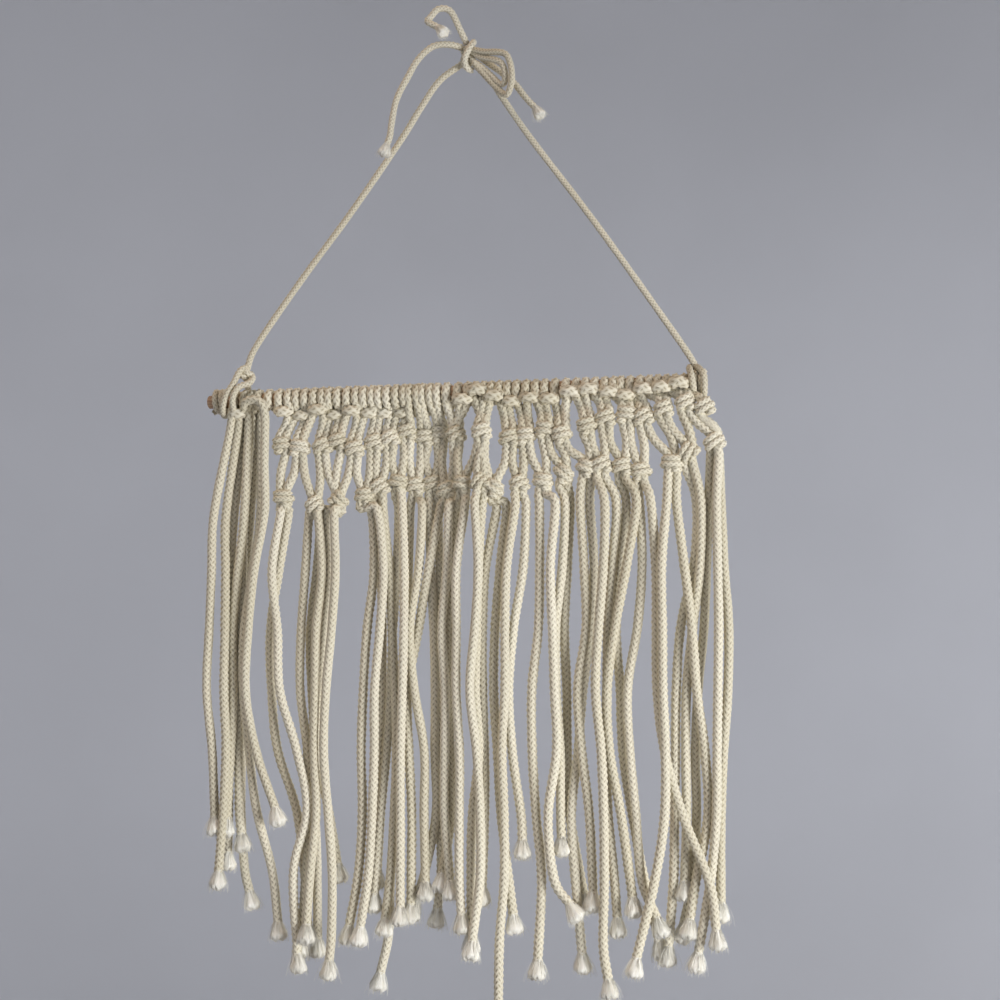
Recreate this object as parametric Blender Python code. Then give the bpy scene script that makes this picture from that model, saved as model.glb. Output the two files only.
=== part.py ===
"""Macrame wall hanging on a wooden dowel, hung by a tied cord: the solids.

All tables are in millimetres; the meshes are made in metres, +Z up. The origin is the middle of the
tied knot at the top, where the hanging meets its nail. +X is right and +Y points to the wall.
"""

import math

import bmesh
import bpy
import numpy as np
from mathutils import Matrix, Vector

MM = 0.001

# Driving dimensions, mm.
CORD = 5.2  # braided cord of the knotted work
HANGER_CORD = 3.8  # thinner cord that hangs the rod
ROD_RADIUS = 4.0
ROD_LEFT, ROD_RIGHT = -163.0, 141.0
ROD_Z = -206.0  # rod axis below the hanging point
ROD_SIDES = 16
ROD_EDGE = 0.5
CLEARANCE = 0.35  # between separate pieces
CUT_CLEARANCE = 0.45  # left round a piece that trims its neighbour
WALL_Y = 9.0  # how far back a strand's middle may lie

BORE_SIDES = 10
BORE_RADIUS = (ROD_RADIUS + CLEARANCE) / math.cos(math.pi / BORE_SIDES)
WRAP_RADIUS = 9.4  # outside of the cord wrapped round the rod
VALLEY_RADIUS = 7.9  # between two wraps
BIGHT_ORBIT = 10.6  # middle of each lark's-head bight from the rod axis
BIGHT_RISE = 4.6  # how far a bight stands out of its wraps
BIGHT_FOCUS = 3  # power of the cosine that narrows a bight's rise round the rod
WRAP_OFFSET = 2.9  # the two wraps of a lark's head lie this far each side of its middle

STRAND_HALF = 2.25  # half the side of a square strand
STRAND_GAP = 5.4  # least distance between the middles of two strands
FIRST_LEVEL = 70.0  # drop of a strand's first ring below its root
LEVEL_STEP = 35.0  # rings of the fringe, and columns of its table, lie this far apart
ROOT_SPREAD = 2.6  # the two strands of a knot leave it this far each side
FRAY_LENGTH = 12.0
FRAY_LOW = 4.0
FRAY_WIDE = 1.7
FRAY_TIP = 1.2
MIN_SEGMENT = 9.0  # no ring closer than this to a strand's frayed end

KNOT_RIDGE = 4.9  # radius of a knot's ridges
KNOT_GROOVE = 4.1
KNOT_HALF = 5.2
KNOT_SIDES = 6
LEG_HALF = 2.2  # the two strands of a knot lie this far each side of its middle
LEG_RADIUS = 3.1
LEG_SIDES = 4

# Lark's heads along the rod: x, and how far its bight is turned down from the front, in degrees.
LARKS_HEADS = (
    (-142.5, 55), (-126.5, 34), (-113, 53), (-103, 78), (-91.5, 51), (-82.5, 84), (-70.5, 62),
    (-60.5, 80), (-51.5, 90), (-40.5, 92), (-32.5, 114), (-24.5, 124), (-15.5, 129), (-1.5, 32),
    (8, 5), (17.5, 26), (27.5, 48), (39, 37), (50, 43), (63, 22), (74, 16), (85.5, 28), (94.5, 42),
    (106, 22), (116, 20), (126, 8),
)
LOOSE_HEADS = 2  # the first heads carry strands that are in no knot

# First row of knots: x, drop below the rod axis, whether it is raised as a knot, and the numbers of
# the lark's heads (from 0) that its left and its right cord come from.
FIRST_ROW = (
    (-113.5, 29, True, 2, 3), (-102.5, 31, True, 3, 4), (-88.5, 31, True, 4, 5), (-79, 28, False, 5, 6),
    (-68.5, 33, True, 6, 7), (-57, 29, True, 7, 8), (-47.5, 27, False, 8, 9), (-37.5, 23, True, 9, 10),
    (-27.5, 26, True, 10, 11), (-18, 24, True, 11, 12), (-6.5, 26, True, 12, 13),
    (11, 26, True, 14, 15), (27.5, 30, True, 15, 16), (37, 29, True, 16, 17), (48.5, 26, True, 17, 18),
    (58.5, 29, True, 18, 19), (73.5, 25, True, 19, 20), (84, 21, True, 20, 21), (96, 19, True, 21, 22),
    (106, 21, True, 22, 23), (117.5, 17, True, 23, 24), (130, 14, True, 24, 25), (141, 17, True, 25, 25),
)

# Second row of knots: x, drop, tilt in degrees, and the first-row knots (from 0) above it.
SECOND_ROW = (
    (-112.5, 61, 10, 0, 1), (-92.5, 66, -15, 1, 2), (-78, 63, 40, 3, 4), (-62.5, 61, 20, 4, 5),
    (-53.5, 56, -10, 5, 6), (-42.5, 53, 30, 6, 7), (-32.5, 55, 0, 7, 8), (-22.5, 54, 10, 8, 9),
    (-12.5, 58, -10, 9, 10), (-1.5, 56, 15, 10, 11), (10.5, 56, -30, 11, 11), (18, 59, 40, 11, 12),
    (33, 57, -20, 12, 13), (47, 56, 20, 13, 14), (59, 52, 60, 14, 15), (72.5, 49, 40, 15, 16),
    (81.5, 48, -15, 16, 17), (93.5, 49, 10, 17, 18), (104, 52, -20, 18, 19), (122, 48, 15, 19, 20),
    (131.5, 42, -45, 20, 21), (146, 37, -15, 21, 22),
)

# Fringe of the knotted work: name, the second-row knot it leaves (from 1), side of the knot,
# how far back its top and its end lie from that knot, drop of its end, then x at each column.
FRINGE = (
    ("g", 1, -1, 1, 2, 330, (-113, -118, -114, -112, -101, -94, -102, -98, -100)),
    ("h", 1, 1, -1, 5, 317, (-110, -116, -121, -120, -116, -104, -99, -96)),
    ("i", 2, -1, 3, 1, 324, (-97, -99, -101, -101, -96, -95, -96, -99)),
    ("k", 2, 1, -2, -2, 316, (-90, -87, -90, -90, -90, -88, -91, -93)),
    ("l", 3, -1, 2, 5, 326, (-86, -85, -88, -90, -93, -93, -92, -92)),
    ("m", 3, 1, -5, -6, 333, (-79, -78, -80, -83, -84, -81, -78, -78, -80)),
    ("j", 3, 0, 7, 8, 286, (-90, -94, -98, -97, -94, -86, -78)),
    ("n1", 4, -1, -1, 0, 316, (-58, -56, -60, -62, -63, -62, -64, -71)),
    ("n2", 4, 1, -3, -3, 317, (-53, -49, -51, -54, -54, -55, -57, -63)),
    ("o1", 5, 1, -1, 0, 313, (-51, -47, -45, -43, -42, -43, -45, -49)),
    ("o2", 5, -1, 5, 6, 289, (-56, -54, -53, -53, -54, -54, -56)),
    ("p1", 6, -1, 3, 4, 299, (-43, -44, -46, -47, -49, -52, -56)),
    ("p2", 6, 1, -3, -3, 306, (-39, -37, -36, -37, -38, -38, -38)),
    ("q", 7, -1, 1, 5, 343, (-36, -37, -38, -39, -42, -44, -47, -48, -55)),
    ("r", 7, 1, -1, 0, 294, (-27, -29, -34, -31, -25, -25, -24)),
    ("s1", 8, -1, 0, -1, 303, (-24, -23, -21, -20, -20, -19, -26, -35)),
    ("s2", 8, 1, 3, 2, 310, (-20, -19, -19, -19, -18, -18, -17, -20)),
    ("t", 9, -1, -1, 3, 307, (-17, -23, -30, -36, -35, -33, -33)),
    ("u1", 9, 1, -3, -3, 293, (-10, -11, -14, -12, -12, -12, -8)),
    ("u2", 10, -1, 2, 3, 289, (-7, -9, -11, -11, -10, -9, -16)),
    ("v", 10, 1, -4, -4, 308, (1, -4, -4, -4, -2, -2, -2, 0)),
    ("x1", 11, -1, -4, -6, 319, (8, 10, 8, 5, 9, 11, 11, 5)),
    ("x2", 11, 1, 1, 1, 318, (11, 9, 8, 7, 9, 5, 4, 4)),
    ("y1", 12, -1, 4, 5, 294, (19, 12, 10, 10, 11, 11, 9)),
    ("y2", 12, 1, 3, 4, 309, (25, 21, 18, 17, 19, 21, 25, 29)),
    ("aa", 13, -1, -2, -1, 353, (31, 26, 25, 25, 23, 24, 24, 21, 20)),
    ("bb", 13, 1, 0, -1, 268, (37, 35, 29, 26, 28, 33, 34)),
    ("cc", 14, -1, -1, 0, 332, (45, 45, 44, 40, 40, 42, 45, 44, 41)),
    ("dd", 14, 1, -4, -6, 297, (55, 52, 53, 54, 55, 50, 53, 69)),
    ("ee", 15, -1, 1, 1, 266, (60, 58, 54, 54, 56, 56, 57)),
    ("e3", 15, 1, 4, 4, 296, (62, 60, 58, 59, 59, 60, 65, 71)),
    ("ff1", 16, -1, 0, -1, 295, (69, 71, 72, 67, 69, 73, 75)),
    ("ff2", 16, 1, 3, 3, 329, (74, 76, 74, 69, 66, 62, 64, 67, 68)),
    ("gg", 17, -1, -5, -6, 337, (84, 83, 80, 78, 81, 82, 82, 81, 85)),
    ("hh", 17, 1, 0, 3, 308, (90, 87, 84, 83, 82, 83, 86, 88)),
    ("ii", 18, -1, 4, 5, 319, (95, 91, 88, 90, 91, 96, 102, 112)),
    ("jj", 18, 1, -4, -3, 298, (102, 96, 89, 84, 85, 91, 94, 100)),
    ("ll", 19, -1, 0, 1, 310, (103, 104, 101, 95, 96, 99, 102, 114)),
    ("mm", 19, 1, -4, -4, 309, (110, 112, 112, 112, 116, 126, 140, 144)),
    ("nn", 20, -1, -3, -4, 328, (119, 116, 116, 116, 117, 116, 110, 101, 98)),
    ("oo", 20, 1, 1, 1, 308, (124, 128, 132, 134, 138, 139, 132, 127)),
    ("pp1", 21, -1, 4, 5, 322, (135, 133, 125, 122, 121, 120, 119, 116, 114)),
    ("pp2", 21, 1, 1, 2, 291, (138, 137, 132, 128, 127, 127, 125)),
    ("qq", 22, -1, 4, 5, 314, (142, 140, 138, 134, 132, 132, 129, 122)),
    ("rr", 22, 1, -2, -3, 329, (147, 147, 147, 146, 145, 144, 140, 135, 126)),
    ("ss", 22, 1, 3, 3, 298, (149, 150, 152, 151, 148, 146, 145)),
)

# Loose strands at the left: name, x on the bar, depth at the bar and at the end, drop of the end, x.
LOOSE = (
    ("a", -146.5, -6, -2, 258, (-156, -157, -158, -159, -155, -152, -155)),
    ("b", -142, -4, -3, 284, (-149, -148, -147, -147, -145, -146, -149)),
    ("c", -141.5, 2, 4, 279, (-146, -148, -149, -148, -147, -147, -147)),
    ("d", -135.5, -4, -1, 258, (-137, -141, -144, -143, -144, -146, -146)),
    ("e1", -135.5, 1, 3, 267, (-139, -140, -141, -141, -141, -140, -137)),
    ("e2", -134, 5, 7, 299, (-137, -140, -141, -141, -141, -141, -138, -132)),
    ("f1", -123.5, -8, -8, 248, (-123, -129, -132, -133, -126, -110)),
    ("f2", -129.5, 1, 3, 313, (-129, -133, -137, -137, -133, -128, -118, -113)),
)
LOOSE_ROOT = 6.0  # drop at which a loose strand leaves the bar

# Routes of the thin cord: x, y, z of each point that shapes it.
LEFT_LEG = (
    (-3.5, 0.5, -4), (-18, 0, -14), (-30, -0.5, -31), (-43, -0.5, -51), (-73.5, -1, -93.5),
    (-104.5, -1, -133.5), (-132, -2, -172.5), (-138, -3, -188.5),
)
LEFT_HITCH = ((-138, -3, -188.5), (-145.5, -5, -192), (-152, -5, -196), (-156, -2, -199))
RIGHT_LEG = (
    (3.5, 0.5, -4), (14, 0, -16), (22, 0, -29), (39, -0.5, -55), (75, -1, -105.5), (106, -1.5, -151.5),
    (129, -2, -186.5), (136, -2, -198.5),
)
TOP_CURL = (
    (-0.5, -2, 8), (-2, -4, 12.5), (-3.5, -6, 18.5), (-6, -7, 25), (-9, -8, 29.5), (-12.5, -9, 31),
    (-17.5, -10, 29.5), (-21, -11, 24), (-23.5, -12, 21), (-14.5, -13, 16.5),
)
LEFT_TAIL = (
    (-3, -3, 8), (-10, -7, 9), (-19.5, -9, 7.5), (-28, -10, -1), (-35, -10, -13), (-42, -10, -27),
    (-45, -10, -41.5), (-46, -10, -50.5), (-50, -10, -59.5),
)
BOW_LOOP = (
    (5, -5, 4), (16.5, -10, -2), (26, -14, -2.5), (32.5, -15, -10), (34, -14, -17.5),
    (31.5, -12, -24.5), (26, -9, -27.5), (19.5, -6, -17.5), (12, -5, -9), (4.5, -5, -4),
)
RIGHT_TAIL = (
    (4, 1, 2.5), (13, -1, -4.5), (24.5, -3, -13), (32, -4, -19.5), (40, -5, -30), (48, -5, -40),
)

TIE_RIDGE, TIE_GROOVE, TIE_HALF = 5.2, 4.2, 8.5
TIE_MIDDLE = (0.0, 0.0, 1.5)
UPRIGHT = 90.0  # tilt that stands a knot's axis up, in degrees
HITCH_RIDGE, HITCH_GROOVE, HITCH_HALF = 4.3, 3.5, 4.6
HITCH_TILT = 55.0
THIN_SIDES = 6
THIN_STEP = 6.0
LEG_STEP = 22.0
COLLAR_RADIUS = 8.2
COLLAR_VALLEY = 7.0
LEFT_COLLAR = (-161.5, -151.4)
RIGHT_COLLAR = (131.2, 140.6)
BAR_LEFT = -151.0
BAR_SPLIT = -122.7
BAR_RIGHT = 130.7

COTTON = (0.80, 0.74, 0.62, 1.0)
THIN_COTTON = (0.76, 0.69, 0.57, 1.0)
WOOD = (0.50, 0.33, 0.20, 1.0)

SPREAD_ROUNDS = 400
SPREAD_PUSH = 0.3
SPREAD_SMOOTH = 0.08
SETTLE_ROUNDS = 60
TIE_BREAK = 0.01  # of two strands at one depth, the later one in the tables lies behind


def material(name, colour, roughness):
    """A Principled material of one colour."""
    made = bpy.data.materials.new(name)
    made.use_nodes = True
    shader = made.node_tree.nodes["Principled BSDF"]
    shader.inputs["Base Color"].default_value = colour
    shader.inputs["Roughness"].default_value = roughness
    shader.inputs["Metallic"].default_value = 0.0
    made.diffuse_color = colour
    return made


def mesh_object(name, rings, closed=False, collection=None):
    """A closed solid lofted through rings of points in mm; closed joins the last ring to the first."""
    shape = bmesh.new()
    loops = [[shape.verts.new(Vector(point) * MM) for point in ring] for ring in rings]
    following = loops[1:] + loops[:1] if closed else loops[1:]
    for lower, upper in zip(loops, following):
        for i in range(len(lower)):
            j = (i + 1) % len(lower)
            shape.faces.new((lower[i], lower[j], upper[j], upper[i]))
    if not closed:
        shape.faces.new(tuple(reversed(loops[0])))
        shape.faces.new(tuple(loops[-1]))
    bmesh.ops.recalc_face_normals(shape, faces=shape.faces)
    mesh = bpy.data.meshes.new(name)
    shape.to_mesh(mesh)
    shape.free()
    made = bpy.data.objects.new(name, mesh)
    (collection or bpy.context.scene.collection).objects.link(made)
    return made


def smooth_route(points, step):
    """Points about step apart on a Catmull-Rom curve through the given points."""
    given = [Vector(point) for point in points]
    ends = [given[0] * 2 - given[1]] + given + [given[-1] * 2 - given[-2]]
    route = []
    for before, start, end, after in zip(ends, ends[1:], ends[2:], ends[3:]):
        count = max(1, round((end - start).length / step))
        for k in range(count):
            t = k / count
            bend = (before * 2 - start * 5 + end * 4 - after) * t * t
            twist = (start * 3 - before - end * 3 + after) * t * t * t
            route.append((start * 2 + (end - before) * t + bend + twist) / 2)
    return route + [given[-1]]


def rings_along(route, radii, sides):
    """Rings square to a route, one for each point, with no twist between them."""
    rings = []
    side = None
    for k, point in enumerate(route):
        ahead = route[min(k + 1, len(route) - 1)] - route[max(k - 1, 0)]
        ahead.normalize()
        if side is None:
            side = ahead.cross(Vector((0, 1, 0)))
        side = (side - ahead * side.dot(ahead)).normalized()
        other = ahead.cross(side)
        turns = [2 * math.pi * (n + 0.5) / sides for n in range(sides)]
        rings.append([point + (side * math.cos(a) + other * math.sin(a)) * radii[k] for a in turns])
    return rings


def cord_piece(name, points, step, diameter, collection=None, frayed=False):
    """A plain length of thin cord along a route, opened out at its end where it is frayed."""
    route = smooth_route(points, step)
    radii = [diameter / 2] * len(route)
    if frayed:
        radii[-2] *= FRAY_WIDE
        radii[-1] *= FRAY_TIP
    return mesh_object(name, rings_along(route, radii, THIN_SIDES), collection=collection)


def ridged_knot(name, middle, half, ridge, groove, tilt, collection):
    """A knot of two wraps: a short barrel with two raised ridges and a groove between them."""
    stations = ((-1.0, ridge), (0.0, groove), (1.0, ridge))
    turn = Matrix.Rotation(math.radians(tilt), 3, "Y")
    rings = []
    for along, radius in stations:
        ring = []
        for n in range(KNOT_SIDES):
            angle = 2 * math.pi * n / KNOT_SIDES
            local = Vector((along * half, radius * math.sin(angle), radius * math.cos(angle)))
            ring.append(Vector(middle) + turn @ local)
        rings.append(ring)
    return mesh_object(name, rings, collection=collection)


def rod_ring(x, radius, sides, bight=None):
    """A ring of points round the rod's axis, raised towards a bight's side where it has one."""
    ring = []
    for n in range(sides):
        angle = 2 * math.pi * n / sides
        out = radius
        if bight is not None:
            facing = max(0.0, math.cos(angle - bight))
            out += BIGHT_RISE * facing ** BIGHT_FOCUS
        ring.append((x, -out * math.cos(angle), ROD_Z - out * math.sin(angle)))
    return ring


def sleeve(name, stations, collection):
    """A tube round the rod: out along x, radius and bight stations, and back along its bore."""
    rings = [rod_ring(x, radius, BORE_SIDES, bight) for x, radius, bight in stations]
    rings.append(rod_ring(stations[-1][0], BORE_RADIUS, BORE_SIDES))
    rings.append(rod_ring(stations[0][0], BORE_RADIUS, BORE_SIDES))
    return mesh_object(name, rings, closed=True, collection=collection)


def bar_stations(heads, left, right):
    """Two raised wraps with their bight at each lark's head, and a valley between heads."""
    stations = [(left, VALLEY_RADIUS, None)]
    for k, (x, turned) in enumerate(heads):
        if k > 0:
            stations.append(((x + heads[k - 1][0]) / 2, VALLEY_RADIUS, None))
        for side in (-1, 1):
            stations.append((x + side * WRAP_OFFSET, WRAP_RADIUS, math.radians(turned)))
    return stations + [(right, VALLEY_RADIUS, None)]


def bight_middle(head):
    """Where the middle of a lark's head's bight lies."""
    x, turned = head
    angle = math.radians(turned)
    return Vector((x, -BIGHT_ORBIT * math.cos(angle), ROD_Z - BIGHT_ORBIT * math.sin(angle)))


def square_ring(x, y, z, half):
    """A level square round a strand's middle."""
    corners = ((-1, -1), (1, -1), (1, 1), (-1, 1))
    return [(x + across * half, y + back * half, z) for across, back in corners]


def leg(start, end, collection):
    """A straight strand of the net between two places that hide its ends."""
    turns = [2 * math.pi * (n + 0.5) / LEG_SIDES for n in range(LEG_SIDES)]
    corners = [Vector((-math.sin(a), -math.cos(a), 0)) * LEG_RADIUS for a in turns]
    rings = [[place + corner for corner in corners] for place in (end, start)]
    return mesh_object("leg", rings, collection=collection)


def table_x(row_x, root, end_drop, drop):
    """A strand's x at a drop, on a smooth curve through its root and the table's columns."""
    drops = [root[1]] + [FIRST_LEVEL + LEVEL_STEP * k for k in range(len(row_x) - 1)] + [end_drop]
    places = [root[0]] + list(row_x)
    k = min(max(int(np.searchsorted(drops, drop)) - 1, 0), len(drops) - 2)
    t = (drop - drops[k]) / (drops[k + 1] - drops[k])
    before = places[max(k - 1, 0)]
    after = places[min(k + 2, len(places) - 1)]
    start, end = places[k], places[k + 1]
    bend = 2 * before - 5 * start + 4 * end - after
    twist = 3 * start - before - 3 * end + after
    return (2 * start + (end - before) * t + bend * t * t + twist * t * t * t) / 2


def strand_levels(end_drop):
    """Drops of a strand's rings below its root, the last one where its frayed end begins."""
    neck = end_drop - FRAY_LENGTH
    drops = list(np.arange(FIRST_LEVEL, neck - MIN_SEGMENT, LEVEL_STEP))
    return drops + [neck]


def spread_depths(strands, drops):
    """Depths at each shared level, moved apart where strands cross, and kept off the wall."""
    count = len(strands)
    x = np.zeros((len(drops), count))
    y = np.zeros((len(drops), count))
    for k, drop in enumerate(drops):
        for n, strand in enumerate(strands):
            along = min(drop, strand["end"])
            share = (along - FIRST_LEVEL) / (strand["end"] - FIRST_LEVEL)
            x[k, n] = table_x(strand["x"], strand["root"], strand["end"], along)
            y[k, n] = strand["depth"][0] * (1 - share) + strand["depth"][1] * share
    later = np.arange(count)[:, None] - np.arange(count)[None, :]
    order = y[:, :, None] - y[:, None, :] + later * TIE_BREAK
    behind = np.where(order.sum(axis=0) > 0, 1.0, -1.0)[None]
    hangs = np.array([[drop <= strand["end"] + LEVEL_STEP for strand in strands] for drop in drops])
    both = hangs[:, :, None] & hangs[:, None, :] & ~np.eye(count, dtype=bool)[None]
    near = np.minimum(np.abs(x[:, :, None] - x[:, None, :]) / STRAND_GAP, 1.0)
    needed = np.where(both, STRAND_GAP * (1 - near ** 4) ** 0.25, 0.0)
    for turn in range(SPREAD_ROUNDS + SETTLE_ROUNDS):
        apart = behind * (y[:, :, None] - y[:, None, :])
        short = np.where(needed > 0, np.maximum(needed - apart, 0.0), 0.0)
        y += SPREAD_PUSH * (short * behind).sum(axis=2)
        if turn < SPREAD_ROUNDS:
            middle = (y[:-2] + y[2:]) / 2
            y[1:-1] += SPREAD_SMOOTH * (middle - y[1:-1])
        y = np.minimum(y, WALL_Y)
    return y


def strand_piece(strand, depths, drops, collection):
    """One strand of the fringe, square in section, with its opened end."""
    root_x, root_drop = strand["root"]
    rings = [square_ring(root_x, strand["root_y"], ROD_Z - root_drop, STRAND_HALF)]
    levels = strand_levels(strand["end"])
    for drop in levels:
        x = table_x(strand["x"], strand["root"], strand["end"], drop)
        y = float(np.interp(drop, drops, depths))
        rings.append(square_ring(x, y, ROD_Z - drop, STRAND_HALF))
    end_y = float(np.interp(strand["end"], drops, depths))
    end_x = strand["x"][-1]
    for rise, scale in ((FRAY_LOW, FRAY_WIDE), (0.0, FRAY_TIP)):
        rings.append(square_ring(end_x, end_y, ROD_Z - strand["end"] + rise, STRAND_HALF * scale))
    rings.reverse()
    return mesh_object("strand", rings, collection=collection)


def first_row_middle(index):
    """The place of a knot of the first row: its depth is the mean of the two bights above it."""
    x, drop, _, left, right = FIRST_ROW[index]
    depth = (bight_middle(LARKS_HEADS[left]).y + bight_middle(LARKS_HEADS[right]).y) / 2
    return Vector((x, depth, ROD_Z - drop))


def second_row_middle(index):
    """The place of a knot of the second row: its depth is the mean of the two knots above it."""
    x, drop, _, left, right = SECOND_ROW[index]
    depth = (first_row_middle(left).y + first_row_middle(right).y) / 2
    return Vector((x, depth, ROD_Z - drop))


def joined(name, base, collection, colour, solver="EXACT"):
    """One solid of a base and all the pieces of a collection, which are then removed."""
    union = base.modifiers.new("union", "BOOLEAN")
    union.operation = "UNION"
    union.operand_type = "COLLECTION"
    union.collection = collection
    union.solver = solver
    return baked(name, base, list(collection.objects), colour)


def baked(name, base, helpers, colour):
    """The evaluated shape of an object under a new name, without the objects that shaped it."""
    graph = bpy.context.evaluated_depsgraph_get()
    mesh = bpy.data.meshes.new_from_object(base.evaluated_get(graph))
    mesh.name = name
    mesh.materials.clear()
    mesh.materials.append(colour)
    for helper in [base] + helpers:
        bpy.data.objects.remove(helper)
    made = bpy.data.objects.new(name, mesh)
    bpy.context.scene.collection.objects.link(made)
    return made


def trimmed(name, base, cutters, colour):
    """A piece with its neighbours' grown shapes cut away, so that it ends just short of them."""
    for cutter in cutters:
        cut = base.modifiers.new("cut", "BOOLEAN")
        cut.operation = "DIFFERENCE"
        cut.object = cutter
        cut.solver = "EXACT"
    return baked(name, base, [], colour)


def pieces_collection(name):
    """A collection that holds the pieces of one solid until they are joined."""
    made = bpy.data.collections.new(name)
    bpy.context.scene.collection.children.link(made)
    return made


def make_rod(colour):
    """The dowel, with its ends' edges eased."""
    half = (ROD_RIGHT - ROD_LEFT) / 2
    stations = ((-half, ROD_RADIUS - ROD_EDGE), (-half + ROD_EDGE, ROD_RADIUS))
    stations += ((half - ROD_EDGE, ROD_RADIUS), (half, ROD_RADIUS - ROD_EDGE))
    middle = (ROD_LEFT + ROD_RIGHT) / 2
    rod = mesh_object("rod", [rod_ring(middle + x, radius, ROD_SIDES) for x, radius in stations])
    rod.data.materials.append(colour)


def fringe_strands():
    """The strands that leave the second row of knots."""
    strands = []
    for name, knot, side, top, low, end, places in FRINGE:
        middle = second_row_middle(knot - 1)
        root = (middle.x + side * ROOT_SPREAD, -(middle.z - ROD_Z))
        depth = (middle.y + top, middle.y * 0.5 + low)
        strands.append({"name": name, "root": root, "root_y": middle.y, "depth": depth, "end": end,
                        "x": places})
    return strands


def loose_strands():
    """The strands that hang straight from the bar at the left."""
    strands = []
    for name, x, top, low, end, places in LOOSE:
        depth = (top, low)
        strands.append({"name": name, "root": (x, LOOSE_ROOT), "root_y": top, "depth": depth, "end": end,
                        "x": places})
    return strands


def make_macrame(strands, depths, drops, colour):
    """The knotted work: ridged bar, net, two rows of knots and fringe, all one solid."""
    pieces = pieces_collection("macrame pieces")
    scene = bpy.context.scene.collection
    heads = LARKS_HEADS[LOOSE_HEADS:]
    bar = sleeve("bar", bar_stations(heads, BAR_SPLIT + CLEARANCE, BAR_RIGHT), scene)
    for index, (_, _, raised, left, right) in enumerate(FIRST_ROW):
        middle = first_row_middle(index)
        for head, side in ((left, -1), (right, 1)):
            start = bight_middle(LARKS_HEADS[head]) - Vector((side * LEG_HALF, 0, 0))
            leg(start, middle + Vector((side * LEG_HALF, 0, 0)), pieces)
        if raised:
            ridged_knot("knot", middle, KNOT_HALF, KNOT_RIDGE, KNOT_GROOVE, 0, pieces)
    for index, (_, _, tilt, left, right) in enumerate(SECOND_ROW):
        middle = second_row_middle(index)
        for above, side in ((left, -1), (right, 1)):
            start = first_row_middle(above) - Vector((side * LEG_HALF, 0, 0))
            leg(start, middle + Vector((side * LEG_HALF, 0, 0)), pieces)
        ridged_knot("knot", middle, KNOT_HALF, KNOT_RIDGE, KNOT_GROOVE, tilt, pieces)
    for n, strand in enumerate(strands):
        strand_piece(strand, depths[:, n], drops, pieces)
    joined("macrame", bar, pieces, colour, solver="MANIFOLD")
    bpy.data.collections.remove(pieces)


def make_loose_bundle(strands, depths, drops, colour):
    """The two lark's heads at the left end and the strands that hang from them unknotted."""
    pieces = pieces_collection("loose pieces")
    scene = bpy.context.scene.collection
    heads = LARKS_HEADS[:LOOSE_HEADS]
    bar = sleeve("bar", bar_stations(heads, BAR_LEFT, BAR_SPLIT), scene)
    for n, strand in enumerate(strands):
        strand_piece(strand, depths[:, n], drops, pieces)
    joined("loose_strands", bar, pieces, colour)
    bpy.data.collections.remove(pieces)


def tie_barrel(name, grow):
    """The upright knot at the top, or its shape grown all round."""
    return ridged_knot(name, TIE_MIDDLE, TIE_HALF + grow, TIE_RIDGE + grow, TIE_GROOVE + grow, UPRIGHT,
                       bpy.context.scene.collection)


def make_tie(colour):
    """The knot at the top with the loop, the curl and the two tails that leave it."""
    grown = tie_barrel("tie space", CUT_CLEARANCE)
    grown.hide_render = True
    grown.display_type = "WIRE"
    knot = tie_barrel("tie_knot", 0.0)
    knot.data.materials.append(colour)
    for name, route, frayed in (
        ("tie_curl", TOP_CURL, True), ("tie_tail_left", LEFT_TAIL, True),
        ("tie_loop", BOW_LOOP, False), ("tie_tail_right", RIGHT_TAIL, True),
    ):
        cord = cord_piece(name + " cord", route, THIN_STEP, HANGER_CORD, frayed=frayed)
        trimmed(name, cord, [grown], colour)
    return grown


def make_hanger(name, route, extra, collar_span, grown, colour):
    """One leg of the hanging cord with its hitch round the rod."""
    pieces = pieces_collection(name + " pieces")
    left, right = collar_span
    middle = (left + right) / 2
    stations = (
        (left, COLLAR_VALLEY, None), ((left + middle) / 2, COLLAR_RADIUS, None),
        (middle, COLLAR_VALLEY, None), ((right + middle) / 2, COLLAR_RADIUS, None),
        (right, COLLAR_VALLEY, None),
    )
    collar = sleeve("collar", stations, bpy.context.scene.collection)
    cord_piece("leg", route, LEG_STEP, HANGER_CORD, collection=pieces)
    if extra:
        cord_piece("hitch", extra, THIN_STEP, HANGER_CORD, collection=pieces)
        ridged_knot("knot", extra[0], HITCH_HALF, HITCH_RIDGE, HITCH_GROOVE, HITCH_TILT, pieces)
    whole = joined(name + " whole", collar, pieces, colour)
    bpy.data.collections.remove(pieces)
    trimmed(name, whole, [grown], colour)


def main():
    for old in list(bpy.data.objects):
        bpy.data.objects.remove(old)
    cotton = material("cotton_braid", COTTON, 0.9)
    thin_cotton = material("cotton_hanger", THIN_COTTON, 0.9)
    wood = material("dowel_wood", WOOD, 0.6)
    make_rod(wood)
    strands = loose_strands() + fringe_strands()
    longest = max(strand["end"] for strand in strands)
    drops = list(np.arange(FIRST_LEVEL, longest + LEVEL_STEP, LEVEL_STEP))
    depths = spread_depths(strands, drops)
    loose_count = len(LOOSE)
    make_loose_bundle(strands[:loose_count], depths[:, :loose_count], drops, cotton)
    make_macrame(strands[loose_count:], depths[:, loose_count:], drops, cotton)
    grown = make_tie(thin_cotton)
    make_hanger("hanger_left", LEFT_LEG, LEFT_HITCH, LEFT_COLLAR, grown, thin_cotton)
    make_hanger("hanger_right", RIGHT_LEG, None, RIGHT_COLLAR, grown, thin_cotton)


main()
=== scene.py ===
"""Macrame wall hanging on a wooden rod: braided cords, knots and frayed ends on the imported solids.

All tables are in millimetres. The origin is the tied knot at the top, +Z is up and +Y is the wall side.
"""

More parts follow.
